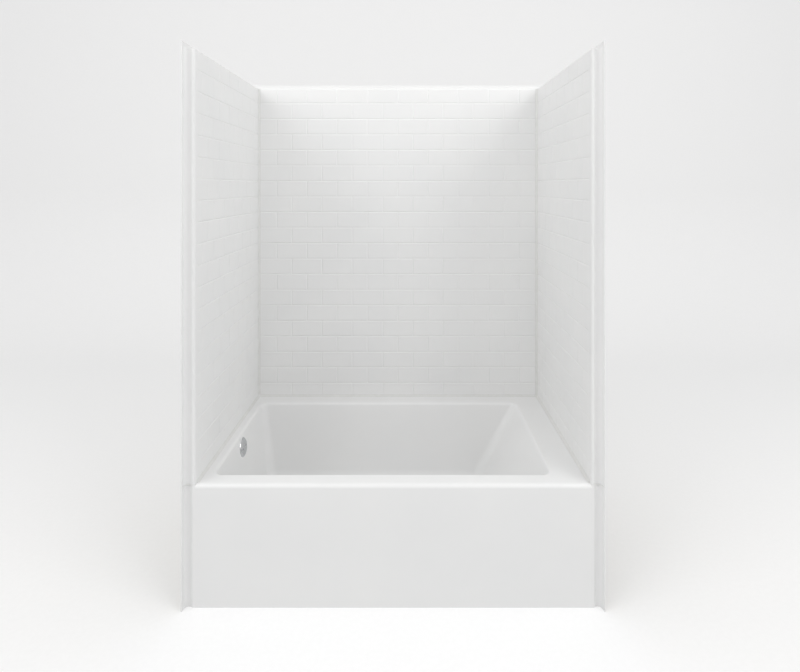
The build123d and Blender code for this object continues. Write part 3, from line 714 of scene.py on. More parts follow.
class Piece:
    """One finished piece: its mesh, its materials and its place in the frame."""

    def __init__(self, name: str, mesh: bpy.types.Mesh, *finishes: bpy.types.Material) -> None:
        """Make the object at the origin.

        Args:
            name: the piece's name.
            mesh: its mesh, in the frame.
            finishes: its materials, by index.
        """
        mesh.name = name
        paint(mesh, *finishes)
        self.object = bpy.data.objects.new(name, mesh)
        bpy.context.scene.collection.objects.link(self.object)

    def evaluate(self) -> None:
        """Turn the object's modifiers into its plain mesh."""
        depsgraph = bpy.context.evaluated_depsgraph_get()
        ready = self.object.evaluated_get(depsgraph)
        mesh = bpy.data.meshes.new_from_object(ready, preserve_all_data_layers=True, depsgraph=depsgraph)
        self.object.modifiers.clear()
        old = self.object.data
        self.object.data = mesh
        bpy.data.meshes.remove(old)
        mesh.name = self.object.name

    def thicken(self, thickness: float, weights: str = "", least: float = 1.0) -> None:
        """Give a sheet its thickness behind its finished face.

        Args:
            thickness: the sheet's thickness in metres.
            weights: the vertex group that scales it, or nothing.
            least: the share of the thickness where that group weighs nothing.
        """
        solid = self.object.modifiers.new("thickness", "SOLIDIFY")
        solid.thickness = thickness
        solid.offset = -1.0
        solid.use_even_offset = False
        solid.use_quality_normals = True
        solid.material_offset = RAW
        solid.material_offset_rim = FINISHED
        if weights:
            solid.vertex_group = weights
            solid.thickness_vertex_group = least
        self.evaluate()

    def join(self, build: Callable[[bmesh.types.BMesh], None]) -> None:
        """Add more shells to the piece's mesh.

        Args:
            build: adds them to the mesh that it is given.
        """
        mesh = bmesh.new()
        mesh.from_mesh(self.object.data)
        build(mesh)
        mesh.to_mesh(self.object.data)
        mesh.free()

    def finish(self, slot: str, body: str, *nodes: str, sharp: float = 35.0) -> bpy.types.Object:
        """Shade the piece, put it on its body and let it stand for its nodes.

        Args:
            slot: the record's material slot; not used.
            body: the body that it rides on.
            nodes: the nodes that it replaces.
            sharp: the angle in degrees past which an edge stays sharp.

        Returns:
            The object.
        """
        mesh = self.object.data
        mesh.validate()
        mesh.shade_smooth()
        mesh.set_sharp_from_angle(angle=math.radians(sharp))
        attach(self.object, body)
        if nodes:
            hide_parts(*nodes)
        LOG.info("%s: %d faces on %s, for %s", self.object.name, len(mesh.polygons), body,
                 ", ".join(nodes) or "nothing")
        return self.object


def mesh_of(name: str, vertices: Sequence[Point3], faces: Sequence[Sequence[int]]) -> bpy.types.Mesh:
    """Make a mesh from its vertices and faces.

    Args:
        name: the mesh's name.
        vertices: its vertices.
        faces: its faces.

    Returns:
        The mesh.
    """
    mesh = bpy.data.meshes.new(name)
    mesh.from_pydata(vertices, [], faces)
    mesh.validate()
    return mesh


def mesh_with(name: str, build: Callable[[bmesh.types.BMesh], None]) -> bpy.types.Mesh:
    """Make a mesh with the shells that a function adds.

    Args:
        name: the mesh's name.
        build: adds the shells to the mesh that it is given.

    Returns:
        The mesh.
    """
    work = bmesh.new()
    build(work)
    mesh = bpy.data.meshes.new(name)
    work.to_mesh(mesh)
    work.free()
    return mesh


@dataclass(frozen=True)
class Ring:
    """One ring of a turned form: round, or the outline of a hexagon with its corners cut down."""

    radius: float
    height: float
    hexagon: bool = False
    slope: float = 0.0

    def points(self, steps: int) -> list[Vector]:
        """Points of the ring.

        Args:
            steps: how many there are.

        Returns:
            The points about the Z axis.
        """
        found = []
        for step in range(steps):
            turn = step / steps * math.tau
            off = (turn + math.pi / 6) % (math.pi / 3) - math.pi / 6
            radius = self.radius / math.cos(off) if self.hexagon else self.radius
            height = self.height - self.slope * (radius - self.radius)
            found.append(Vector((radius * math.cos(turn), radius * math.sin(turn), height)))
        return found


def add_skin(mesh: bmesh.types.BMesh, rings: Sequence[Sequence[Vector]], tube: bool = False) -> None:
    """Add a closed shell over rings of points.

    Args:
        mesh: the mesh that gets it.
        rings: the rings in order, each with as many points.
        tube: join the last ring to the first, instead of closing both ends.
    """
    rows = [[mesh.verts.new(point) for point in ring] for ring in rings]
    pairs = list(zip(rows, rows[1:] + rows[:1])) if tube else list(zip(rows, rows[1:]))
    count = len(rows[0])
    faces = []
    for lower, upper in pairs:
        for index in range(count):
            after = (index + 1) % count
            faces.append(mesh.faces.new((lower[index], lower[after], upper[after], upper[index])))
    if not tube:
        for row in (rows[0][::-1], rows[-1]):
            faces.append(mesh.faces.new(row))
    bmesh.ops.recalc_face_normals(mesh, faces=faces)


# Geometry node trees

@dataclass(frozen=True)
class TilePattern:
    """Running bond relief of one wall: joints between tiles, sunk into the finished face."""

    tile_length: float
    first_joint: float
    top_joint: float
    start: float
    end: float
    least_tile: float = 0.030
    row_height: float = 0.080
    relief: float = 0.0015
    floor_half: float = 0.0008
    shoulder: float = 0.0042
    land: float = 0.001

    def row_places(self, low: float) -> list[float]:
        """Heights where the grid needs a row for the joints between rows.

        Args:
            low: the foot of the wall.

        Returns:
            The heights.
        """
        places = []
        line = self.top_joint
        while line > low:
            places += [line + offset for offset in self.offsets()]
            places.append(line - self.row_height / 2)
            line -= self.row_height
        return places

    def column_places(self, low: float, high: float) -> list[float]:
        """Places where the grid needs a column for the joints in a row, for both kinds of row.

        Args:
            low: the start of the wall.
            high: the end of the wall.

        Returns:
            The places.
        """
        half = self.tile_length / 2
        joint = self.first_joint - half * math.ceil((self.first_joint - low) / half)
        places = []
        while joint < high + half:
            places += [joint + offset for offset in self.offsets()]
            joint += half
        return places

    def offsets(self) -> list[float]:
        """Distances from a joint's middle where its section needs a point.

        Returns:
            The distances, on both sides.
        """
        half = (self.floor_half, (self.floor_half + self.shoulder) / 2, self.shoulder,
                self.shoulder + self.land)
        return sorted(side * value for value in half for side in (-1, 1))


class ShapeTree(Wiring):
    """A geometry node tree with named inputs, which a modifier puts on a piece."""

    def __init__(self, name: str, inputs: dict[str, str]) -> None:
        """Start the tree with its inputs.

        Args:
            name: the tree's name.
            inputs: the kind of each input by its name, besides the geometry and the material.
        """
        super().__init__(bpy.data.node_groups.new(name, "GeometryNodeTree"))
        sockets = self.tree.interface
        for item, kind in {"Geometry": "Geometry", **inputs, "Material": "Material"}.items():
            sockets.new_socket(item, in_out="INPUT", socket_type="NodeSocket" + kind)
        sockets.new_socket("Geometry", in_out="OUTPUT", socket_type="NodeSocketGeometry")
        self.given = self.add("NodeGroupInput").outputs

    def end(self, shape: bpy.types.NodeSocket) -> None:
        """End the tree: realize its instances and set its material.

        Args:
            shape: the geometry so far.
        """
        real = self.add("GeometryNodeRealizeInstances")
        self.feed(real.inputs["Geometry"], shape)
        dress = self.add("GeometryNodeSetMaterial")
        self.feed(dress.inputs["Geometry"], real.outputs[0])
        self.feed(dress.inputs["Material"], self.given["Material"])
        self.feed(self.add("NodeGroupOutput").inputs[0], dress.outputs[0])

    def put_on(self, piece: bpy.types.Object, values: dict[str, object]) -> None:
        """Put the tree on a piece, with its inputs set by identifier.

        Args:
            piece: the object that gets the modifier.
            values: the inputs by name.
        """
        modifier = piece.modifiers.new(self.tree.name, "NODES")
        modifier.node_group = self.tree
        for item in self.tree.interface.items_tree:
            if item.item_type == "SOCKET" and item.in_out == "INPUT" and item.name in values:
                modifier[item.identifier] = values[item.name]


class TileRelief(ShapeTree):
    """Geometry node tree that sinks the joints of a running bond into a wall's face."""

    sizes: ClassVar[tuple[str, ...]] = ("Tile Length", "Row Height", "First Joint", "Top Joint",
                                        "Least Place", "Most Place", "Relief", "Joint Floor", "Shoulder")

    def __init__(self) -> None:
        """Build the tree."""
        super().__init__("Tile relief", dict.fromkeys(self.sizes, "Float"))
        given = self.given
        place = {}
        for name in ("along", "up", "tiled"):
            node = self.add("GeometryNodeInputNamedAttribute", data_type="FLOAT")
            node.inputs["Name"].default_value = name
            place[name] = node.outputs["Attribute"]
        drop = self.math("DIVIDE", self.math("SUBTRACT", given["Top Joint"], place["up"]),
                         given["Row Height"])
        half = self.math("MULTIPLY", self.math("MODULO", self.math("CEIL", drop), 2.0), 0.5)
        level = self.distance(drop, given["Row Height"])
        step = self.math("DIVIDE", self.math("SUBTRACT", place["along"], given["First Joint"]),
                         given["Tile Length"])
        shifted = self.math("SUBTRACT", step, half)
        turns = self.math("ADD", self.math("ROUND", shifted), half)
        joint = self.math("ADD", self.math("MULTIPLY", turns, given["Tile Length"]), given["First Joint"])
        outside = self.math("MAXIMUM", self.math("LESS_THAN", joint, given["Least Place"]),
                            self.math("GREATER_THAN", joint, given["Most Place"]))
        side = self.math("ADD", self.distance(shifted, given["Tile Length"]), outside)
        tops = [self.ramp(value, given["Joint Floor"], given["Shoulder"], smooth=True)
                for value in (level, side)]
        sunk = self.math("SUBTRACT", 1.0, self.math("MINIMUM", *tops))
        depth = self.math("MULTIPLY", self.math("MULTIPLY", sunk, place["tiled"]), given["Relief"])
        shift = self.add("ShaderNodeVectorMath", operation="SCALE")
        self.feed(shift.inputs[0], self.add("GeometryNodeInputNormal").outputs[0])
        self.feed(shift.inputs["Scale"], self.math("MULTIPLY", depth, -1.0))
        move = self.add("GeometryNodeSetPosition")
        self.feed(move.inputs["Geometry"], given["Geometry"])
        self.feed(move.inputs["Offset"], shift.outputs[0])
        self.end(move.outputs[0])

    def distance(self, turns: bpy.types.NodeSocket, pitch: bpy.types.NodeSocket) -> bpy.types.NodeSocket:
        """Distance to the nearest whole number of pitches.

        Args:
            turns: the place, in pitches.
            pitch: the pitch in metres.

        Returns:
            The distance's socket, in metres.
        """
        off = self.math("ABSOLUTE", self.math("SUBTRACT", turns, self.math("ROUND", turns)))
        return self.math("MULTIPLY", off, pitch)

    def apply(self, piece: Piece, pattern: TilePattern, finish: bpy.types.Material) -> None:
        """Run the tree on a piece and keep the result as its plain mesh.

        Args:
            piece: the wall's finished face.
            pattern: the wall's tiles.
            finish: the material of the face.
        """
        values = (pattern.tile_length, pattern.row_height, pattern.first_joint, pattern.top_joint,
                  pattern.start + pattern.least_tile, pattern.end - pattern.least_tile, pattern.relief,
                  pattern.floor_half, pattern.shoulder)
        self.put_on(piece.object, {**dict(zip(self.sizes, values)), "Material": finish})
        piece.evaluate()


class Repeat(ShapeTree):
    """Geometry node tree that sets one form on every point of a mesh."""

    seed: ClassVar[int] = 7

    def __init__(self) -> None:
        """Build the tree."""
        super().__init__("Repeat on points", {"Form": "Object", "Turn": "Vector", "Spin": "Float"})
        given = self.given
        form = self.add("GeometryNodeObjectInfo", transform_space="ORIGINAL")
        self.feed(form.inputs["Object"], given["Form"])
        turn = self.add("FunctionNodeEulerToRotation")
        self.feed(turn.inputs[0], given["Turn"])
        spin = self.add("FunctionNodeRandomValue", data_type="FLOAT")
        spin.inputs["Seed"].default_value = self.seed
        low, high = [item for item in spin.inputs if item.name in ("Min", "Max") and item.type == "VALUE"][:2]
        self.feed(low, self.math("MULTIPLY", given["Spin"], -1.0))
        self.feed(high, given["Spin"])
        value = [item for item in spin.outputs if item.type == "VALUE"][0]
        twist = self.add("FunctionNodeAxisAngleToRotation")
        twist.inputs["Axis"].default_value = (0.0, 0.0, 1.0)
        self.feed(twist.inputs["Angle"], value)
        both = self.add("FunctionNodeRotateRotation", rotation_space="LOCAL")
        self.feed(both.inputs[0], turn.outputs[0])
        self.feed(both.inputs[1], twist.outputs[0])
        place = self.add("GeometryNodeInstanceOnPoints")
        self.feed(place.inputs["Points"], given["Geometry"])
        self.feed(place.inputs["Instance"], form.outputs["Geometry"])
        self.feed(place.inputs["Rotation"], both.outputs[0])
        self.end(place.outputs[0])

    def make(self, name: str, form: bpy.types.Mesh, places: Sequence[Point3], turn: Point3, spin: float,
             finish: bpy.types.Material) -> Piece:
        """Set a form on every place.

        Args:
            name: the piece's name.
            form: the mesh of one copy.
            places: where the copies stand.
            turn: how each copy is turned, as Euler angles in radians.
            spin: how far a copy may turn about its own Z by chance, in radians.
            finish: the material of the copies.

        Returns:
            The piece, with a plain mesh.
        """
        pattern = bpy.data.objects.new(name + "_form", form)
        piece = Piece(name, mesh_of(name, list(places), []), finish)
        self.put_on(piece.object, {"Form": pattern, "Turn": turn, "Spin": spin, "Material": finish})
        piece.evaluate()
        bpy.data.objects.remove(pattern)
        return piece


class NodeFacets(ShapeTree):
    """Geometry node tree that joins a node's loose triangles and shades its curved faces smooth."""

    sharp_angle: ClassVar[float] = math.radians(28.0)

    def __init__(self) -> None:
        """Build the tree."""
        super().__init__("Joined facets", {"Weld Distance": "Float", "Sharp Angle": "Float"})
        weld = self.add("GeometryNodeMergeByDistance")
        self.feed(weld.inputs["Geometry"], self.given["Geometry"])
        self.feed(weld.inputs["Distance"], self.given["Weld Distance"])
        angle = self.add("GeometryNodeInputMeshEdgeAngle").outputs["Unsigned Angle"]
        gentle = self.math("LESS_THAN", angle, self.given["Sharp Angle"])
        faces = self.add("GeometryNodeSetShadeSmooth", domain="FACE")
        self.feed(faces.inputs["Geometry"], weld.outputs[0])
        edges = self.add("GeometryNodeSetShadeSmooth", domain="EDGE")
        self.feed(edges.inputs["Geometry"], faces.outputs[0])
        self.feed(edges.inputs["Shade Smooth"], gentle)
        self.end(edges.outputs[0])

    def apply(self, piece: bpy.types.Object, finish: bpy.types.Material) -> None:
        """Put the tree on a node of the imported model, where it stays live.

        Args:
            piece: the node's object.
            finish: its material.
        """
        self.put_on(piece, {"Weld Distance": WELD, "Sharp Angle": self.sharp_angle, "Material": finish})


# The unit

@dataclass(frozen=True)
class Layout:
    """Planes that the mouldings share, in metres, from the unit's own box and the sheets' sizes."""

    stud_x: float
    stud_y: float
    height: float
    deck: float = 0.445
    wall_sheet: float = 0.004
    tub_sheet: float = 0.006
    side_standoff: float = 0.044
    back_standoff: float = 0.028
    front_setback: float = 0.018
    column_bead: float = 0.008
    column_turn: float = 38.0
    deck_round: float = 0.014
    top_flange: float = 0.022
    seal: float = 0.001
    seam_gap: float = 0.001

    @property
    def front(self) -> float:
        """Front edge of the flanges."""
        return -self.stud_y

    @property
    def wall_x(self) -> float:
        """Finished face of the right end wall."""
        return self.stud_x - self.side_standoff

    @property
    def wall_y(self) -> float:
        """Finished face of the back wall."""
        return self.stud_y - self.back_standoff

    @property
    def flange_x(self) -> float:
        """Inner face of the right flange."""
        return self.stud_x - self.wall_sheet

    @property
    def flange_y(self) -> float:
        """Inner face of the back flange."""
        return self.stud_y - self.wall_sheet

    @property
    def face_y(self) -> float:
        """Finished face of the apron and of the columns over it."""
        return self.front + self.front_setback

    @property
    def bead_centre(self) -> Point2:
        """Centre of the right column's rounded inner edge."""
        return (self.wall_x + self.column_bead, self.face_y + self.column_bead)

    def column(self, hollow_steps: int, bead_steps: int) -> list[Point2]:
        """The right column in plan, from its flange through its hollow and round its edge to the wall.

        Args:
            hollow_steps: how many chords the hollow has.
            bead_steps: how many chords the rounded edge has.

        Returns:
            The points.
        """
        turn = self.column_turn
        edge = arc(self.bead_centre, self.column_bead, 270 + turn, 180, bead_steps)
        radius = (self.flange_x - edge[0][0]) / (1 + math.sin(math.radians(turn)))
        centre = (self.flange_x - radius, edge[0][1] - radius * math.cos(math.radians(turn)))
        return arc(centre, radius, 0, 90 + turn, hollow_steps) + edge[1:]

    @property
    def ledge(self) -> float:
        """Height of the ledge over the walls."""
        return self.height - self.top_flange

    @property
    def foot(self) -> float:
        """Height of the walls' foot."""
        return self.deck + self.seal

    @property
    def seam_y(self) -> float:
        """Rear face of the end walls' rear flange."""
        return self.wall_y - self.seal


class LevelKind(Enum):
    """The parts of a wall's section, from its foot to the top of its upstand."""

    FACE = "face"
    EDGE = "edge"
    LEDGE = "ledge"
    FILLET = "fillet"
    UPSTAND = "upstand"


@dataclass(frozen=True)
class Station:
    """One upright line of a wall's grid."""

    face: Point2
    rim: Point2
    along: float
    tiled: float
    edge: float = 0.005

    def mirrored(self, turn: int = 1) -> "Station":
        """The same line on the other side of the unit.

        Args:
            turn: -1 where the place along the wall changes its sign too.

        Returns:
            The new station.
        """
        return replace(self, face=(-self.face[0], self.face[1]), rim=(-self.rim[0], self.rim[1]),
                       along=turn * self.along)


@dataclass(frozen=True)
class WallSheet:
    """Moulded wall sheet: face, rounded edge, ledge and upstand over a line of stations.

    The stations run left to right as seen from the room.
    """

    layout: Layout
    stations: Sequence[Station]
    pattern: TilePattern
    edge_radius: float = Station.edge
    fillet_radius: float = 0.004
    edge_steps: int = 5
    ledge_shares: tuple[float, ...] = (0.35, 0.7, 1.0)
    fade: float = 0.006

    def levels(self) -> list[tuple[LevelKind, float]]:
        """Levels of the grid, from the foot to the top.

        Returns:
            The part of the section that each level is in, and its height or its share of that part.
        """
        plan = self.layout
        edge_low = plan.ledge - self.edge_radius
        heights = merge_sorted(self.pattern.row_places(plan.foot), plan.foot, edge_low)
        shares = [step / self.edge_steps for step in range(1, self.edge_steps + 1)]
        middle = (plan.ledge + self.fillet_radius + plan.height) / 2
        parts = ((LevelKind.FACE, heights), (LevelKind.EDGE, shares), (LevelKind.LEDGE, self.ledge_shares),
                 (LevelKind.FILLET, shares), (LevelKind.UPSTAND, (middle, plan.height)))
        return [(kind, value) for kind, values in parts for value in values]

    def point(self, station: Station, kind: LevelKind, value: float) -> tuple[Point3, float]:
        """One vertex of the grid and how far its tiles show.

        Args:
            station: the upright line.
            kind: the part of the section.
            value: the height, or the share of that part.

        Returns:
            The vertex and its share of the tile relief.
        """
        face, rim = Vector(station.face), Vector(station.rim)
        run = (rim - face).length
        way = (rim - face).normalized() if run > TINY else Vector((0.0, 0.0))
        edge = min(station.edge, run / 2)
        fillet = min(self.fillet_radius, run / 2)
        turn = value * math.pi / 2
        ledge = self.layout.ledge
        if kind is LevelKind.FACE:
            place, height, tiled = face, value, station.tiled
        elif kind is LevelKind.EDGE:
            place = face + way * edge * (1 - math.cos(turn))
            height = ledge - self.edge_radius + self.edge_radius * math.sin(turn)
            tiled = station.tiled * math.cos(turn)
        elif kind is LevelKind.LEDGE:
            place = face + way * (edge + value * (run - edge - fillet))
            height, tiled = ledge, 0.0
        elif kind is LevelKind.FILLET:
            place = rim - way * fillet * (1 - math.sin(turn))
            height = ledge + self.fillet_radius * (1 - math.cos(turn))
            tiled = 0.0
        else:
            place, height, tiled = rim, value, 0.0
        return (place.x, place.y, height), tiled

    def mesh(self, name: str) -> bpy.types.Mesh:
        """Build the sheet's finished face.

        Args:
            name: the mesh's name.

        Returns:
            The mesh, with the attributes that the tile relief reads.
        """
        levels = self.levels()
        vertices, along, tiled = [], [], []
        for kind, value in levels:
            for station in self.stations:
                vertex, share = self.point(station, kind, value)
                vertices.append(vertex)
                along.append(station.along)
                tiled.append(share)
        mesh = mesh_of(name, vertices, grid_faces(len(levels), len(self.stations)))
        up = [vertex[2] for vertex in vertices]
        for key, values in (("along", along), ("up", up), ("tiled", tiled)):
            layer = mesh.attributes.new(key, "FLOAT", "POINT")
            layer.data.foreach_set("value", values)
        work = bmesh.new()
        work.from_mesh(mesh)
        bmesh.ops.remove_doubles(work, verts=work.verts[:], dist=WELD)
        bmesh.ops.dissolve_degenerate(work, edges=work.edges[:], dist=TINY)
        work.to_mesh(mesh)
        work.free()
        return mesh


@dataclass(frozen=True)
class WallPanels:
    """The three wall panels with their tile relief, flanges and upstands."""

    layout: Layout
    relief: TileRelief
    gelcoat: bpy.types.Material
    laminate: bpy.types.Material
    end_tile: float = 0.115
    back_tile: float = 0.156
    left_joint: float = 0.074
    right_joint: float = 0.046
    top_row: float = 0.074
    border: float = 0.0165
    ledge_lead: float = 0.055
    lead_share: float = 0.7
    ledge_step: float = 0.004
    ledge_ease: float = 0.3
    hollow_edge: float = 0.0005
    hollow_steps: int = 12
    bead_steps: int = 10
    corner_radius: float = 0.004
    corner_steps: int = 4
    tuck_share: float = 0.9
    plate_bevel: float = 0.0008

    def end_stations(self, side: int, pattern: TilePattern) -> list[Station]:
        """Upright lines of an end wall, left to right as seen from the room.

        Over the hollow column the ledge's lines lead back, the more the nearer they come to the wall,
        and the ledge's rounded edge is narrow there, so that no face of the ledge turns over.

        Args:
            side: -1 for the left wall, 1 for the right one.
            pattern: the wall's tiles.

        Returns:
            The stations.
        """
        plan = self.layout
        bead = plan.bead_centre
        column = [(plan.flange_x, plan.front)] + plan.column(self.hollow_steps, self.bead_steps)
        stations = [Station(column[0], column[0], column[0][1], 0.0)]
        rim_y = column[1][1]
        for index, point in enumerate(column[1:]):
            if point[0] > bead[0]:
                rim_y = max(rim_y, point[1])
            share = index / (len(column) - 2)
            past = (point[1] - plan.face_y) / plan.column_bead if point[0] < bead[0] else 0.0
            edge = self.hollow_edge + (WallSheet.edge_radius - self.hollow_edge) * past ** 3
            lead = self.ledge_lead * min(share, self.lead_share) ** 2 + self.ledge_step * share
            rim = rim_y + lead
            stations.append(Station(point, (plan.flange_x, rim), point[1], 0.0, edge))
        column_rim = rim
        field = bead[1] + self.border
        places = pattern.column_places(field, plan.seam_y)
        places += [field, field + WallSheet.fade / 2, field + WallSheet.fade]
        for place in merge_sorted(places, bead[1], plan.seam_y)[1:]:
            tiled = min(max((place - field) / WallSheet.fade, 0.0), 1.0)
            rim = max(place, column_rim + self.ledge_ease * (place - bead[1]))
            stations.append(Station((plan.wall_x, place), (plan.flange_x, rim), place, tiled))
        return stations[::-1] if side > 0 else [item.mirrored() for item in stations]

    def back_stations(self, pattern: TilePattern) -> list[Station]:
        """Upright lines of the back wall, left to right as seen from the room.

        Args:
            pattern: the wall's tiles.

        Returns:
            The stations.
        """
        plan = self.layout
        end = plan.flange_x - plan.seam_gap
        centre = (plan.flange_x - self.corner_radius, plan.flange_y - self.corner_radius)
        rim = [(plan.flange_x, plan.wall_y), (plan.flange_x, (plan.wall_y + centre[1]) / 2)]
        rim += arc(centre, self.corner_radius, 0, 90, self.corner_steps)
        count = len(rim)
        faces = [end - (end - plan.wall_x) * step / (count + 1) for step in range(count)]
        right = [Station((face, plan.wall_y), point, face, 0.0) for face, point in zip(faces, rim)]
        left = [item.mirrored(-1) for item in right]
        places = merge_sorted(pattern.column_places(-plan.wall_x, plan.wall_x), -plan.wall_x, plan.wall_x)
        middle = [Station((place, plan.wall_y), (place, plan.flange_y), place, 1.0) for place in places]
        return left + middle + right[::-1]

    def panel(self, name: str, stations: Sequence[Station], pattern: TilePattern,
              plates: Sequence[tuple[Point3, Point3]]) -> bpy.types.Object:
        """Build one wall.

        Args:
            name: the node that it replaces.
            stations: its upright lines, left to right as seen from the room.
            pattern: its tiles.
            plates: the lowest and the highest corner of each flat flange behind it.

        Returns:
            The piece's object.
        """
        piece = Piece(name + "_panel", WallSheet(self.layout, stations, pattern).mesh(name), self.gelcoat)
        self.relief.apply(piece, pattern, self.gelcoat)
        paint(piece.object.data, self.gelcoat, self.laminate)
        piece.thicken(self.layout.wall_sheet)

        def flanges(mesh: bmesh.types.BMesh) -> None:
            """Add the flat flanges."""
            for low, high in plates:
                add_box(mesh, low, high, self.plate_bevel, RAW)

        piece.join(flanges)
        return piece.finish("gelcoat", "unit", name)

    def build_end(self, name: str, side: int, joint: float) -> bpy.types.Object:
        """Build an end wall with its rear flange and its foot flange.

        Args:
            name: the node that it replaces.
            side: -1 for the left wall, 1 for the right one.
            joint: the distance from the back wall to the first joint of the top row.

        Returns:
            The piece's object.
        """
        plan = self.layout
        front = plan.bead_centre[1]
        pattern = TilePattern(self.end_tile, plan.wall_y - joint, plan.ledge - self.top_row,
                              front + self.border, plan.seam_y)
        near, far = plan.wall_x + plan.wall_sheet * self.tuck_share, plan.flange_x - plan.seam_gap
        left, right = sorted((side * near, side * far))
        behind = plan.seam_y - plan.wall_sheet
        plates = (((left, behind, plan.foot), (right, plan.seam_y, plan.ledge - plan.wall_sheet)),
                  ((left, front, plan.foot), (right, behind, plan.foot + plan.wall_sheet)))
        return self.panel(name, self.end_stations(side, pattern), pattern, plates)

    def build_back(self) -> bpy.types.Object:
        """Build the back wall with its foot flange.

        Returns:
            The piece's object.
        """
        plan = self.layout
        pattern = TilePattern(self.back_tile, 0.0, plan.ledge - self.top_row, -plan.wall_x, plan.wall_x)
        seam_x = plan.flange_x - plan.seam_gap
        plate = ((-seam_x, plan.wall_y + plan.wall_sheet * self.tuck_share, plan.foot),
                 (seam_x, plan.flange_y - plan.seam_gap, plan.foot + plan.wall_sheet))
        return self.panel("back_wall", self.back_stations(pattern), pattern, [plate])

    def build(self) -> list[bpy.types.Object]:
        """Build the three walls.

        Returns:
            The pieces' objects.
        """
        return [self.build_end("left_wall", -1, self.left_joint),
                self.build_end("right_wall", 1, self.right_joint), self.build_back()]


@dataclass(frozen=True)
class RingSample:
    """One upright line of the basin: a corner, or a place between two corners."""

    corner: int
    following: int
    share: float
    angle: float


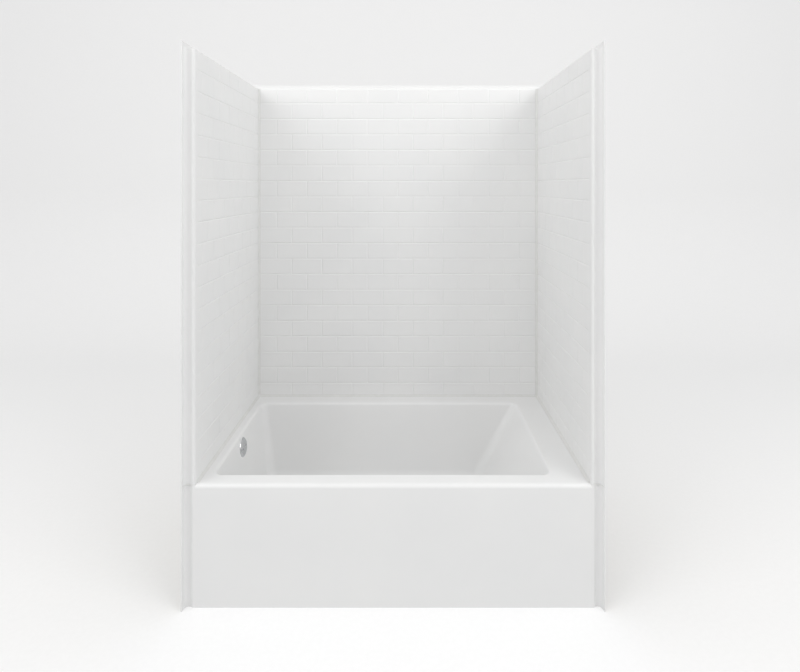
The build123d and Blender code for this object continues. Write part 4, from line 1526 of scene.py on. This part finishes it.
@dataclass(frozen=True)
class TubMoulding:
    """Deck, apron and basin in one moulding."""

    layout: Layout
    gelcoat: bpy.types.Material
    laminate: bpy.types.Material
    front_rim: float = 0.070
    back_rim: float = 0.083
    left_rim: float = 0.043
    right_rim: float = 0.128
    floor: float = 0.095
    drain_end_draft: float = 0.043
    backrest_draft: float = 0.190
    side_draft: float = 0.0335
    top_corner: float = 0.030
    floor_corner: float = 0.050
    floor_blend: float = 0.040
    rim_blend: float = 0.012
    overflow_drop: float = 0.059
    overflow_radius: float = 0.026
    drain_inset: float = 0.097
    drain_radius: float = 0.023
    floor_lead: float = 0.003
    wall_rises: tuple[float, ...] = (0.085, 0.135, 0.19)
    apron_shares: tuple[float, ...] = (0.0, 0.15, 0.4, 0.65, 0.85, 1.0)
    window: float = 0.036
    window_share: float = 0.02
    window_below_share: float = 0.95
    window_above_share: float = 0.9
    upstand: float = 0.020
    lip: float = 0.030
    strip_bevel: float = 0.0008
    land: float = 0.002
    thinning: float = 0.016
    weld: float = 2e-5
    corner_steps: int = 16
    blend_steps: int = 8
    rim_steps: int = 6
    side_steps: int = 14
    long_steps: int = 28
    hole_steps: int = 48
    bead_steps: int = 9
    hollow_steps: int = 12
    edge_steps: int = 12
    apron_steps: int = 40
    end_steps: int = 10
    back_steps: int = 16

    @property
    def depth(self) -> float:
        """Depth of the basin under the deck."""
        return self.layout.deck - self.floor

    def box(self, level: int) -> tuple[float, float, float, float]:
        """Left, right, front and back of the basin.

        Args:
            level: 0 at the floor, 1 at the deck.

        Returns:
            The four limits.
        """
        plan = self.layout
        top = (self.left_rim - plan.wall_x, plan.wall_x - self.right_rim, plan.face_y + self.front_rim,
               plan.wall_y - self.back_rim)
        if level:
            return top
        return (top[0] + self.drain_end_draft, top[1] - self.backrest_draft, top[2] + self.side_draft,
                top[3] - self.side_draft)

    def centres(self, level: int) -> list[Vector]:
        """Centres of the four rounded corners, from the front left one round by the right.

        Args:
            level: 0 at the floor, 1 at the deck.

        Returns:
            The centres.
        """
        left, right, front, back = self.box(level)
        radius = self.top_corner if level else self.floor_corner
        return [Vector((left + radius, front + radius)), Vector((right - radius, front + radius)),
                Vector((right - radius, back - radius)), Vector((left + radius, back - radius))]

    def side_shares(self, side: int) -> list[float]:
        """Places between two corners, as shares of the run, without its ends and clear of the window.

        The window is the cell of the grid that the overflow's hole is cut in.

        Args:
            side: 0 at the front, 1 at the backrest, 2 at the back and 3 at the drain end.

        Returns:
            The shares.
        """
        if side in (0, 2):
            return [step / self.long_steps for step in range(1, self.long_steps)]
        shares = [step / self.side_steps for step in range(1, self.side_steps)]
        if side == 1:
            return shares
        top, low = self.centres(1), self.centres(0)
        rise = (self.depth - self.overflow_drop) / self.depth
        run = (top[3].y - top[0].y) * rise + (low[3].y - low[0].y) * (1 - rise)
        half = self.window / run
        kept = [share for share in shares if abs(share - 0.5) > half + self.window_share]
        return sorted(kept + [0.5 - half, 0.5 + half])

    def samples(self) -> list[RingSample]:
        """Upright lines once round the basin, from the front left corner.

        Returns:
            The samples.
        """
        found = []
        for corner in range(4):
            following = (corner + 1) % 4
            start = math.pi + corner * math.pi / 2
            for step in range(self.corner_steps + 1):
                found.append(RingSample(corner, following, 0.0,
                                        start + step / self.corner_steps * math.pi / 2))
            for share in self.side_shares(corner):
                found.append(RingSample(corner, following, share, start + math.pi / 2))
        return found

    def ring_point(self, sample: RingSample, inwards: float, rise: float) -> Point3:
        """A point by its distance inside the floor's outline and its height over the floor.

        Args:
            sample: the upright line.
            inwards: the distance inside the sharp outline of the floor, square to it.
            rise: the height over the floor.

        Returns:
            The point.
        """
        low, top = self.centres(0), self.centres(1)
        normal = Vector((math.cos(sample.angle), math.sin(sample.angle)))
        across = Vector((-normal.y, normal.x))
        centre = low[sample.corner].lerp(low[sample.following], sample.share)
        over = top[sample.corner].lerp(top[sample.following], sample.share)
        drift = over - centre + normal * (self.top_corner - self.floor_corner)
        slide = across * drift.dot(across) * rise / self.depth
        place = centre + normal * (self.floor_corner - inwards) + slide
        return (place.x, place.y, self.floor + rise)

    def section(self, sample: RingSample) -> list[Point3]:
        """The basin's section along one upright line, from the floor to the deck.

        Args:
            sample: the upright line.

        Returns:
            The points.
        """
        low, top = self.centres(0), self.centres(1)
        normal = Vector((math.cos(sample.angle), math.sin(sample.angle)))
        centre = low[sample.corner].lerp(low[sample.following], sample.share)
        over = top[sample.corner].lerp(top[sample.following], sample.share)
        drift = (over - centre).dot(normal) + self.top_corner - self.floor_corner
        lean = math.atan2(drift, self.depth)
        foot = self.floor_blend * math.tan((math.pi / 2 - lean) / 2)
        head = self.rim_blend * math.tan((math.pi / 2 - lean) / 2)
        points = [(foot + self.floor_lead, 0.0)]
        for step in range(self.blend_steps + 1):
            turn = step / self.blend_steps * (math.pi / 2 - lean)
            points.append((foot - self.floor_blend * math.sin(turn),
                           self.floor_blend * (1 - math.cos(turn))))
        hole = self.depth - self.overflow_drop
        rises = self.wall_rises + (hole - self.window * self.window_below_share,
                                   hole + self.window * self.window_above_share)
        points += [(-rise * math.tan(lean), rise) for rise in rises]
        for step in range(self.rim_steps + 1):
            turn = lean + step / self.rim_steps * (math.pi / 2 - lean)
            inwards = -self.depth * math.tan(lean) - head + self.rim_blend * math.cos(turn)
            points.append((inwards, self.depth - self.rim_blend + self.rim_blend * math.sin(turn)))
        points.append((points[-1][0] - self.land, self.depth))
        return [self.ring_point(sample, inwards, rise) for inwards, rise in points]

    def front_stations(self) -> list[Point3]:
        """Stations along the front, left to right: X, the foot's Y and how far the top may lean back.

        Returns:
            The stations.
        """
        plan = self.layout
        bead = plan.bead_centre
        right = [(plan.flange_x, plan.front, 0.0)]
        right += [(x, y, 0.0) if x > bead[0] + TINY else (x, plan.face_y, y - plan.face_y)
                  for x, y in plan.column(self.hollow_steps, self.edge_steps)]
        right += [(plan.wall_x, plan.face_y, depth) for depth in self.back_depths()]
        left = [(-x, y, lean) for x, y, lean in right]
        reach = plan.deck_round + self.land
        middle = [(plan.wall_x * (2 * step / self.apron_steps - 1), plan.face_y, reach)
                  for step in range(1, self.apron_steps)]
        return left + middle + right[::-1]

    def back_depths(self) -> list[float]:
        """Depths behind the face, from the columns' rounded edge back to the flat of the deck."""
        plan = self.layout
        return [(plan.column_bead + plan.deck_round) / 2, plan.deck_round, plan.deck_round + self.land]

    def front_rows(self) -> list[Point2]:
        """Rows up the front: depth behind the face and height.

        Returns:
            The rows, from the floor to the deck.
        """
        plan = self.layout
        low = plan.deck - plan.deck_round
        rows = [(0.0, low * share) for share in self.apron_shares]
        bead = arc(plan.bead_centre, plan.column_bead, 270, 180, self.bead_steps)
        depths = [y - plan.face_y for _, y in bead[1:]]
        for depth in depths + self.back_depths():
            lean = max(1 - depth / plan.deck_round, 0.0)
            rows.append((depth, low + plan.deck_round * math.sqrt(1 - lean * lean)))
        return rows

    def front_point(self, station: Point3, row: Point2) -> Point3:
        """Where a station and a row of the front meet."""
        return (station[0], station[1] + min(station[2], row[0]), row[1])

    def circle(self, centre: Vector, across: Vector, up: Vector, radius: float) -> list[Vector]:
        """Points of a round hole.

        Args:
            centre: the middle of the hole.
            across: one direction in its plane.
            up: the other direction in its plane.
            radius: the hole's radius.

        Returns:
            The points.
        """
        turn = arc((0.0, 0.0), radius, 0, 360, self.hole_steps)
        return [centre + across * x + up * y for x, y in turn[:-1]]

    def hole(self, mesh: bmesh.types.BMesh, loop: Sequence[bmesh.types.BMVert],
             points: Sequence[Vector]) -> None:
        """Fill the flat between a loop of the mesh and a new loop.

        Args:
            mesh: the mesh.
            loop: the vertices of the mesh's own loop, in order.
            points: the points of the new loop, in order.
        """
        ring = [mesh.verts.new(point) for point in points]
        edges = [mesh.edges.new((first, second)) for first, second in zip(ring, ring[1:] + ring[:1])]
        for first, second in zip(loop, list(loop[1:]) + [loop[0]]):
            edges.append(mesh.edges.get((first, second)) or mesh.edges.new((first, second)))
        bmesh.ops.triangle_fill(mesh, use_beauty=True, edges=edges)

    def basin(self, mesh: bmesh.types.BMesh) -> None:
        """Add the basin and the deck round it.

        Args:
            mesh: the mesh that gets them.
        """
        samples = self.samples()
        deck = self.layout.deck
        grid = [[mesh.verts.new(point) for point in self.section(sample)] for sample in samples]
        count = len(grid)
        window_level = 1 + self.blend_steps + 1 + len(self.wall_rises)
        start = next(index for index, sample in enumerate(samples)
                     if sample.corner == 3 and sample.share and sample.share < 0.5
                     and samples[index + 1].share > 0.5)
        for index in range(count):
            first, second = grid[index], grid[(index + 1) % count]
            for level in range(len(first) - 1):
                if index == start and level == window_level:
                    continue
                mesh.faces.new((first[level], second[level], second[level + 1], first[level + 1]))
        lean = math.atan2(self.drain_end_draft, self.depth)
        middle_y = sum(self.box(1)[2:]) / 2
        overflow = Vector((self.box(1)[0] + self.drain_end_draft * self.overflow_drop / self.depth, middle_y,
                           deck - self.overflow_drop))
        window = [grid[start][window_level], grid[start + 1][window_level],
                  grid[start + 1][window_level + 1], grid[start][window_level + 1]]
        self.hole(mesh, window, self.circle(overflow, Vector((0, 1, 0)),
                                            Vector((-math.sin(lean), 0, math.cos(lean))),
                                            self.overflow_radius))
        drain = Vector((self.box(0)[0] + self.drain_inset, middle_y, self.floor))
        self.hole(mesh, [row[0] for row in grid],
                  self.circle(drain, Vector((1, 0, 0)), Vector((0, 1, 0)), self.drain_radius))
        self.hole(mesh, [row[-1] for row in grid], self.deck_outline())

    def deck_outline(self) -> list[Vector]:
        """Outer edge of the deck: round the column pads in front, square at the back.

        Returns:
            The points in order, each one once.
        """
        plan = self.layout
        top = self.front_rows()[-1]
        points = [Vector(self.front_point(station, top)) for station in self.front_stations()]
        run = plan.flange_y - plan.front
        places = [plan.front + run * step / self.end_steps for step in range(1, self.end_steps)]
        points += [Vector((plan.flange_x, y, plan.deck)) for y in places]
        points += [Vector((plan.flange_x * (1 - 2 * step / self.back_steps), plan.flange_y, plan.deck))
                   for step in range(self.back_steps + 1)]
        points += [Vector((-plan.flange_x, y, plan.deck)) for y in places[::-1]]
        return [point for point, after in zip(points, points[1:] + points[:1])
                if (point - after).length > TINY]

    def apron(self, mesh: bmesh.types.BMesh) -> None:
        """Add the apron with the feet of the hollow columns and its rounded top edge.

        Args:
            mesh: the mesh that gets them.
        """
        stations = self.front_stations()
        rows = [[mesh.verts.new(self.front_point(station, row)) for station in stations]
                for row in self.front_rows()]
        for lower, upper in zip(rows, rows[1:]):
            for column in range(len(stations) - 1):
                mesh.faces.new((lower[column], lower[column + 1], upper[column + 1], upper[column]))

    def strips(self, mesh: bmesh.types.BMesh) -> None:
        """Add the upstand and the lip round the deck.

        Args:
            mesh: the mesh that gets them.
        """
        plan = self.layout
        bead_y = plan.bead_centre[1]
        inner_y = plan.face_y + plan.tub_sheet
        low, high = plan.deck - self.lip, plan.deck + self.upstand
        for side in (-1, 1):
            left, right = sorted((side * plan.flange_x, side * plan.stud_x))
            add_box(mesh, (left, bead_y, plan.deck - plan.tub_sheet / 2), (right, plan.stud_y, high),
                    self.strip_bevel, FINISHED)
            add_box(mesh, (left, inner_y, low), (right, plan.stud_y, plan.deck), self.strip_bevel, RAW)
        add_box(mesh, (-plan.flange_x, plan.flange_y, low), (plan.flange_x, plan.stud_y, high),
                self.strip_bevel, FINISHED)

    def face(self, mesh: bmesh.types.BMesh) -> None:
        """Add the moulding's finished face, turned outwards.

        Args:
            mesh: the mesh that gets it.
        """
        self.basin(mesh)
        self.apron(mesh)
        bmesh.ops.remove_doubles(mesh, verts=mesh.verts[:], dist=self.weld)
        bmesh.ops.dissolve_degenerate(mesh, edges=mesh.edges[:], dist=TINY)
        bmesh.ops.recalc_face_normals(mesh, faces=mesh.faces[:])
        level = self.layout.deck - WELD
        deck = max(mesh.faces, key=lambda face: (face.calc_center_median().z > level) * face.calc_area())
        if deck.normal.z < 0:
            bmesh.ops.reverse_faces(mesh, faces=mesh.faces[:])

    def build(self) -> bpy.types.Object:
        """Build the moulding, with its sheet thinned towards the flanges in front.

        Returns:
            The piece's object.
        """
        plan = self.layout
        piece = Piece("tub_moulding", mesh_with("tub_moulding", self.face), self.gelcoat, self.laminate)
        group = piece.object.vertex_groups.new(name="sheet")
        for vertex in piece.object.data.vertices:
            past = max(abs(vertex.co.x) - (plan.flange_x - self.thinning), 0.0) / self.thinning
            thinned = 0.0 if vertex.co.y > plan.bead_centre[1] else past
            group.add([vertex.index], 1.0 - thinned, "REPLACE")
        piece.thicken(plan.tub_sheet, "sheet", plan.wall_sheet / plan.tub_sheet)
        piece.object.vertex_groups.clear()
        piece.join(self.strips)
        return piece.finish("gelcoat", "unit", "tub_shell")


@dataclass(frozen=True)
class Fasteners:
    """Hexagon bolts with their washers and nuts, where the mouldings clamp each other."""

    layout: Layout
    repeat: Repeat
    zinc: bpy.types.Material
    side_inset: float = 0.024
    back_inset: float = 0.014
    side_shares: tuple[float, ...] = (0.08, 0.36, 0.64, 0.92)
    back_shares: tuple[float, ...] = (0.06, 0.28, 0.5, 0.72, 0.94)
    corner_shares: tuple[float, ...] = (0.06, 0.2, 0.35, 0.5, 0.65, 0.8, 0.94)
    shank: float = 0.003
    clearance: float = 0.0003
    flats: float = 0.005
    head: float = 0.004
    nut: float = 0.005
    end: float = 0.002
    thread: float = 0.0008
    root: float = 0.00255
    tip_share: float = 0.9
    washer: float = 0.006
    washer_sheet: float = 0.0015
    round_off: float = 0.0002
    face_share: float = 0.92
    corner_cut: float = 0.577
    loose_turn: float = 0.5
    steps: int = 36

    def bolt_rings(self, grip: float) -> list[Ring]:
        """Sections of a bolt from its tip to the top of its head.

        Args:
            grip: the thickness of the sheets that it clamps.

        Returns:
            The rings.
        """
        foot = -grip - self.washer_sheet - self.nut
        tip = foot - self.end
        rings = [Ring(self.root * self.tip_share, tip), Ring(self.root, tip + self.thread / 4)]
        height = tip + self.thread / 2
        while height < foot:
            rings += [Ring(self.shank, height), Ring(self.root, height + self.thread / 2)]
            height += self.thread
        rings += [Ring(self.shank, height), Ring(self.shank, self.washer_sheet)]
        return rings + self.hexagon(self.washer_sheet, self.washer_sheet + self.head)[1:]

    def hexagon(self, low: float, high: float) -> list[Ring]:
        """Sections of a hexagon with its upper corners cut down to a round face.

        Args:
            low: its lower face.
            high: its upper face.

        Returns:
            The rings, with a round one at each end.
        """
        face = self.flats * self.face_share
        edge = (self.flats - face) * self.corner_cut
        return [Ring(face, low), Ring(self.flats, low, True),
                Ring(self.flats, high - edge, True, self.corner_cut), Ring(face, high)]

    def nut_rings(self, grip: float) -> list[Ring]:
        """Sections of a nut under the sheets.

        Args:
            grip: the thickness of the sheets.

        Returns:
            The rings, from its lower bore edge round to the upper one.
        """
        high = -grip - self.washer_sheet
        low = high - self.nut
        face = self.flats * self.face_share
        edge = (self.flats - face) * self.corner_cut
        return [Ring(self.shank, low), Ring(face, low), Ring(self.flats, low + edge, True, -self.corner_cut),
                Ring(self.flats, high - edge, True, self.corner_cut), Ring(face, high),
                Ring(self.shank, high)]

    def washer_rings(self, low: float) -> list[Ring]:
        """Sections of a washer with its outer edge rounded over.

        Args:
            low: its lower face.

        Returns:
            The rings.
        """
        high = low + self.washer_sheet
        bore = self.shank + self.clearance
        flat = self.washer - self.round_off
        return [Ring(bore, low), Ring(flat, low), Ring(self.washer, low + self.round_off),
                Ring(self.washer, high - self.round_off), Ring(flat, high), Ring(bore, high)]

    def form(self, name: str, shells: Sequence[Sequence[Ring]], tube: bool) -> bpy.types.Mesh:
        """Make the mesh of one copy.

        Args:
            name: the mesh's name.
            shells: the rings of each shell.
            tube: whether the shells have a bore.

        Returns:
            The mesh.
        """
        def copy(mesh: bmesh.types.BMesh) -> None:
            """Add the shells of one copy."""
            for rings in shells:
                add_skin(mesh, [ring.points(self.steps) for ring in rings], tube)

        return mesh_with(name, copy)

    def places(self) -> dict[str, tuple[list[Point3], Point3, float]]:
        """Where each group stands, how it is turned and what it clamps.

        Returns:
            The places, the turn and the clamped thickness of each group, by the group's name.
        """
        plan = self.layout
        side_x = plan.stud_x - self.side_inset
        start, top = plan.face_y + plan.wall_sheet, plan.foot + plan.wall_sheet
        feet = [(side * side_x, start + share * (plan.seam_y - start), top)
                for side in (-1, 1) for share in self.side_shares]
        feet += [((2 * share - 1) * plan.wall_x, plan.stud_y - self.back_inset, top)
                 for share in self.back_shares]
        seams = [(side * side_x, plan.seam_y - plan.wall_sheet, plan.foot + share * (plan.ledge - plan.foot))
                 for side in (-1, 1) for share in self.corner_shares]
        return {
            "deck": (feet, (0.0, 0.0, 0.0), plan.wall_sheet + plan.seal + plan.tub_sheet),
            "corner": (seams, (math.pi / 2, 0.0, 0.0), plan.wall_sheet + plan.seal + plan.wall_sheet),
        }

    def build(self) -> list[bpy.types.Object]:
        """Build the bolts, washers and nuts of both groups.

        Returns:
            The pieces' objects.
        """
        made = []
        for group, (places, turn, grip) in self.places().items():
            under = -grip - self.washer_sheet
            forms = (
                ("hexagon", "bolts", [self.bolt_rings(grip)], False),
                ("round", "washers", [self.washer_rings(0.0), self.washer_rings(under)], True),
                ("hexagon", "nuts", [self.nut_rings(grip)], True),
            )
            for shape, kind, shells, tube in forms:
                node = f"{group}_{kind}"
                form = self.form(node + "_form", shells, tube)
                piece = self.repeat.make(f"{shape}_{node}", form, places, turn, self.loose_turn, self.zinc)
                made.append(piece.finish("zinc_steel", "unit", node))
        return made


@dataclass(frozen=True)
class Ribs:
    """Stiffening ribs laid up over foam cores behind the back wall."""

    layout: Layout
    repeat: Repeat
    laminate: bpy.types.Material
    end_gap: float = 0.078
    half_width: float = 0.020
    depth: float = 0.0198
    foot: float = 0.013
    foot_sheet: float = 0.0012
    end_run: float = 0.028
    feather_share: float = 0.6
    foot_share: float = 0.3
    least_share: float = 0.5
    root_share: float = 0.06
    core_shares: tuple[Point2, ...] = ((0.88, 0.35), (0.78, 0.82), (0.68, 0.96), (0.5, 1.0))
    ragged: float = 0.0022
    waves: tuple[Point2, ...] = ((37.0, 0.4), (53.0, 2.1))
    stations: int = 46
    sharp: float = 50.0
    height_shares: tuple[float, ...] = (0.12, 0.31, 0.5, 0.69, 0.88)

    def section(self, along: float, rise: float) -> list[Vector]:
        """Closed section of a rib, square to its length, with the ragged edges of its feet.

        Args:
            along: the place along the rib.
            rise: the share of its full depth.

        Returns:
            The points.
        """
        half, depth, sheet = self.half_width, self.depth * rise, self.foot_sheet
        outline = [(half + self.foot, 0.0), (half + self.foot, sheet * self.feather_share),
                   (half + self.foot * self.foot_share, sheet), (half, sheet + depth * self.root_share)]
        outline += [(half * width, depth * height) for width, height in self.core_shares]
        sides = []
        for sign, (pitch, start) in zip((1, -1), self.waves):
            wave = self.ragged * math.sin(along * pitch + start)
            sides.append([Vector((along, sign * (across + (wave if index < 2 else 0.0)),
                                  max(height, sheet * self.least_share) if index else 0.0))
                          for index, (across, height) in enumerate(outline)])
        right, left = sides
        return right + left[::-1]

    def build(self) -> bpy.types.Object:
        """Build the ribs.

        Returns:
            The piece's object.
        """
        plan = self.layout
        half = plan.wall_x - self.end_gap

        def rib(mesh: bmesh.types.BMesh) -> None:
            """Add one rib, which rises out of the wall at both ends.

            Args:
                mesh: the mesh that gets it.
            """
            rings = []
            for step in range(self.stations + 1):
                along = -half + 2 * half * step / self.stations
                share = min(max((half - abs(along)) / self.end_run, 0.0), 1.0)
                rings.append(self.section(along, math.sin(share * math.pi / 2)))
            add_skin(mesh, rings)

        form = mesh_with("rib_form", rib)
        places = [(0.0, plan.wall_y + plan.wall_sheet, plan.foot + share * (plan.ledge - plan.foot))
                  for share in self.height_shares]
        piece = self.repeat.make("laid_up_ribs", form, places, (-math.pi / 2, 0.0, 0.0), 0.0, self.laminate)
        return piece.finish("laminate_rib", "unit", "back_wall_ribs", sharp=self.sharp)


@dataclass(frozen=True)
class Studio:
    """Camera, lights, floor and backdrop."""

    eye: Point3 = (0.0564, -2.2065, 1.528)
    focal_px: float = 501.8
    image_px: Point2 = (800.0, 672.0)
    centre_px: Point2 = (408.8, 186.0)
    sensor: float = 36.0
    clip: Point2 = (0.05, 60.0)
    front: float = 0.10
    front_source: Point3 = (-0.8, -1.0, 0.8)
    front_spread: float = 50.0
    over_right: float = 79.0
    over_left: float = 66.0
    over_place: Point3 = (3.2, -2.7, 4.0)
    over_aim: Point3 = (-0.5, 0.0, 0.8)
    over_size: Point2 = (3.0, 3.0)
    overhead: float = 4.0
    overhead_place: Point3 = (0.0, -0.45, 3.8)
    overhead_aim: Point3 = (0.0, -0.15, 0.0)
    overhead_size: Point2 = (1.6, 1.4)
    sky: float = 0.66
    backdrop: float = 0.92
    near: float = -6.0
    far: float = 3.6
    sweep: float = 1.5
    sweep_steps: int = 16
    half_width: float = 9.0
    top: float = 7.5

    def camera(self) -> None:
        """Stand the camera level where the photograph was taken from."""
        data = bpy.data.cameras.new("camera")
        data.sensor_width = self.sensor
        data.lens = self.focal_px / self.image_px[0] * self.sensor
        data.shift_x = (self.image_px[0] / 2 - self.centre_px[0]) / self.image_px[0]
        data.shift_y = (self.centre_px[1] - self.image_px[1] / 2) / self.image_px[0]
        data.clip_start, data.clip_end = self.clip
        camera = bpy.data.objects.new("camera", data)
        camera.location = self.eye
        camera.rotation_euler = (math.pi / 2, 0.0, 0.0)
        bpy.context.scene.collection.objects.link(camera)
        bpy.context.scene.camera = camera

    def soft_light(self, name: str, source: Point3, spread: float, strength: float) -> None:
        """Add a large soft light, so far away that it falls evenly into the alcove.

        Args:
            name: the light's name.
            source: the direction that it comes from.
            spread: the angle that it fills, in degrees.
            strength: what it gives a surface that faces it, in watts a square metre.
        """
        data = bpy.data.lights.new(name, "SUN")
        data.angle = math.radians(spread)
        data.energy = strength
        light = bpy.data.objects.new(name, data)
        light.rotation_euler = Vector(source).to_track_quat("Z", "Y").to_euler()
        bpy.context.scene.collection.objects.link(light)

    def lamp(self, name: str, place: Point3, aim: Point3, size: Point2, power: float) -> None:
        """Add a soft rectangular lamp.

        Args:
            name: the lamp's name.
            place: where it stands.
            aim: the point it faces.
            size: its width and height.
            power: its power in watts.
        """
        data = bpy.data.lights.new(name, "AREA")
        data.shape = "RECTANGLE"
        data.size, data.size_y = size
        data.energy = power
        lamp = bpy.data.objects.new(name, data)
        lamp.location = place
        lamp.rotation_euler = (Vector(place) - Vector(aim)).to_track_quat("Z", "Y").to_euler()
        bpy.context.scene.collection.objects.link(lamp)

    def lights(self) -> None:
        """Light the unit softly from the front and from above, into the alcove."""
        self.soft_light("front", self.front_source, self.front_spread, self.front)
        for name, side, power in (("over_right", 1, self.over_right), ("over_left", -1, self.over_left)):
            place, aim = [(side * x, y, z) for x, y, z in (self.over_place, self.over_aim)]
            self.lamp(name, place, aim, self.over_size, power)
        self.lamp("overhead", self.overhead_place, self.overhead_aim, self.overhead_size, self.overhead)
        world = bpy.data.worlds.new("studio")
        world.use_nodes = True
        wiring = Wiring(world.node_tree)
        sky = wiring.add("ShaderNodeBackground")
        sky.inputs["Color"].default_value = WHITE
        wiring.feed(sky.inputs["Strength"], wiring.ramp(wiring.seen(), 0.0, 1.0, self.sky, self.backdrop))
        out = wiring.add("ShaderNodeOutputWorld")
        wiring.feed(out.inputs["Surface"], sky.outputs[0])
        bpy.context.scene.world = world

    def stage(self) -> None:
        """Lay a pale floor that sweeps up into the backdrop."""
        section = [(self.near, 0.0), (self.far - self.sweep, 0.0)]
        section += arc((self.far - self.sweep, self.sweep), self.sweep, -90, 0, self.sweep_steps)[1:]
        section.append((self.far, self.top))
        vertices = [(x, y, z) for y, z in section for x in (-self.half_width, self.half_width)]
        mesh = mesh_of("floor", vertices, grid_faces(len(section), 2))
        paint(mesh, Paper().build())
        mesh.shade_smooth()
        floor = bpy.data.objects.new("floor", mesh)
        bpy.context.scene.collection.objects.link(floor)
        floor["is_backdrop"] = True

    def build(self) -> None:
        """Set up the whole studio."""
        self.camera()
        self.lights()
        self.stage()
        bpy.context.scene.view_settings.view_transform = "Standard"


class FinishBook:
    """The finishes of the nodes that keep their construction meshes."""

    eased_edge: ClassVar[float] = 0.0012
    eased_angle: ClassVar[float] = math.radians(40.0)
    plywoods: ClassVar[tuple[tuple[str, Grain, float], ...]] = (
        ("left_wall_backer", Grain.X, 0.0024), ("right_wall_backer", Grain.X, 0.0024),
        ("basin_floor_board", Grain.Z, 0.003), ("apron_stiffener", Grain.Y, 0.0024),
        ("backrest_braces", Grain.Y, 0.0026))

    def __init__(self) -> None:
        """Build each finish once."""
        self.gelcoat = Gelcoat().build()
        self.laminate = Laminate().build()
        self.silicone = Silicone().build()
        self.chrome = Metal(Plate.CHROME).build()
        self.zinc = Metal(Plate.ZINC).build()
        self.brass = Metal(Plate.BRASS).build()
        self.rubber = Rubber().build()
        self.runners = Softwood(Grain.X).build()
        self.legs = Softwood(Grain.Z).build()
        self.sheets = {}
        for node, across, ply in self.plywoods:
            low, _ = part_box(node)
            self.sheets[node] = Plywood(node + "_plywood", across, ply, low["XYZ".index(across.name)]).build()

    def dress(self) -> None:
        """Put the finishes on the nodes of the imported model."""
        by_slot = {"gelcoat": self.gelcoat, "sealant": self.silicone, "zinc_steel": self.zinc,
                   "laminate_rib": self.laminate, "softwood": self.runners, "chrome_trim": self.chrome,
                   "rough_brass": self.brass, "black_rubber": self.rubber}
        rows = {row["node"]: row["material_slot"] for row in frame["record"]["subparts"]}
        facets = NodeFacets()
        for node, piece in frame["nodes"].items():
            finish = self.sheets.get(node) or by_slot[rows[node]]
            if node == "rear_legs":
                finish = self.legs
            paint(piece.data, finish)
            facets.apply(piece, finish)
            if rows[node] in ("softwood", "plywood"):
                self.ease(piece)
            LOG.info("%s: %s", node, finish.name)

    def ease(self, piece: bpy.types.Object) -> None:
        """Round the sawn edges of a timber piece a little.

        Args:
            piece: the node's object.
        """
        bevel = piece.modifiers.new("eased edges", "BEVEL")
        bevel.width = self.eased_edge
        bevel.segments = 2
        bevel.limit_method = "ANGLE"
        bevel.angle_limit = self.eased_angle


def main() -> None:
    """Build the unit's pieces in order and report each one."""
    logging.basicConfig(level=logging.INFO, format="%(message)s")
    Studio().build()
    book = FinishBook()
    book.dress()
    low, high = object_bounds()
    layout = Layout(stud_x=high.x, stud_y=high.y, height=high.z)
    made = WallPanels(layout, TileRelief(), book.gelcoat, book.laminate).build()
    made.append(TubMoulding(layout, book.gelcoat, book.laminate).build())
    repeat = Repeat()
    made += Fasteners(layout, repeat, book.zinc).build()
    made.append(Ribs(layout, repeat, book.laminate).build())
    LOG.info("%d pieces modelled over a model of %d nodes", len(made), len(frame["nodes"]))


if __name__ == "__main__":
    main()
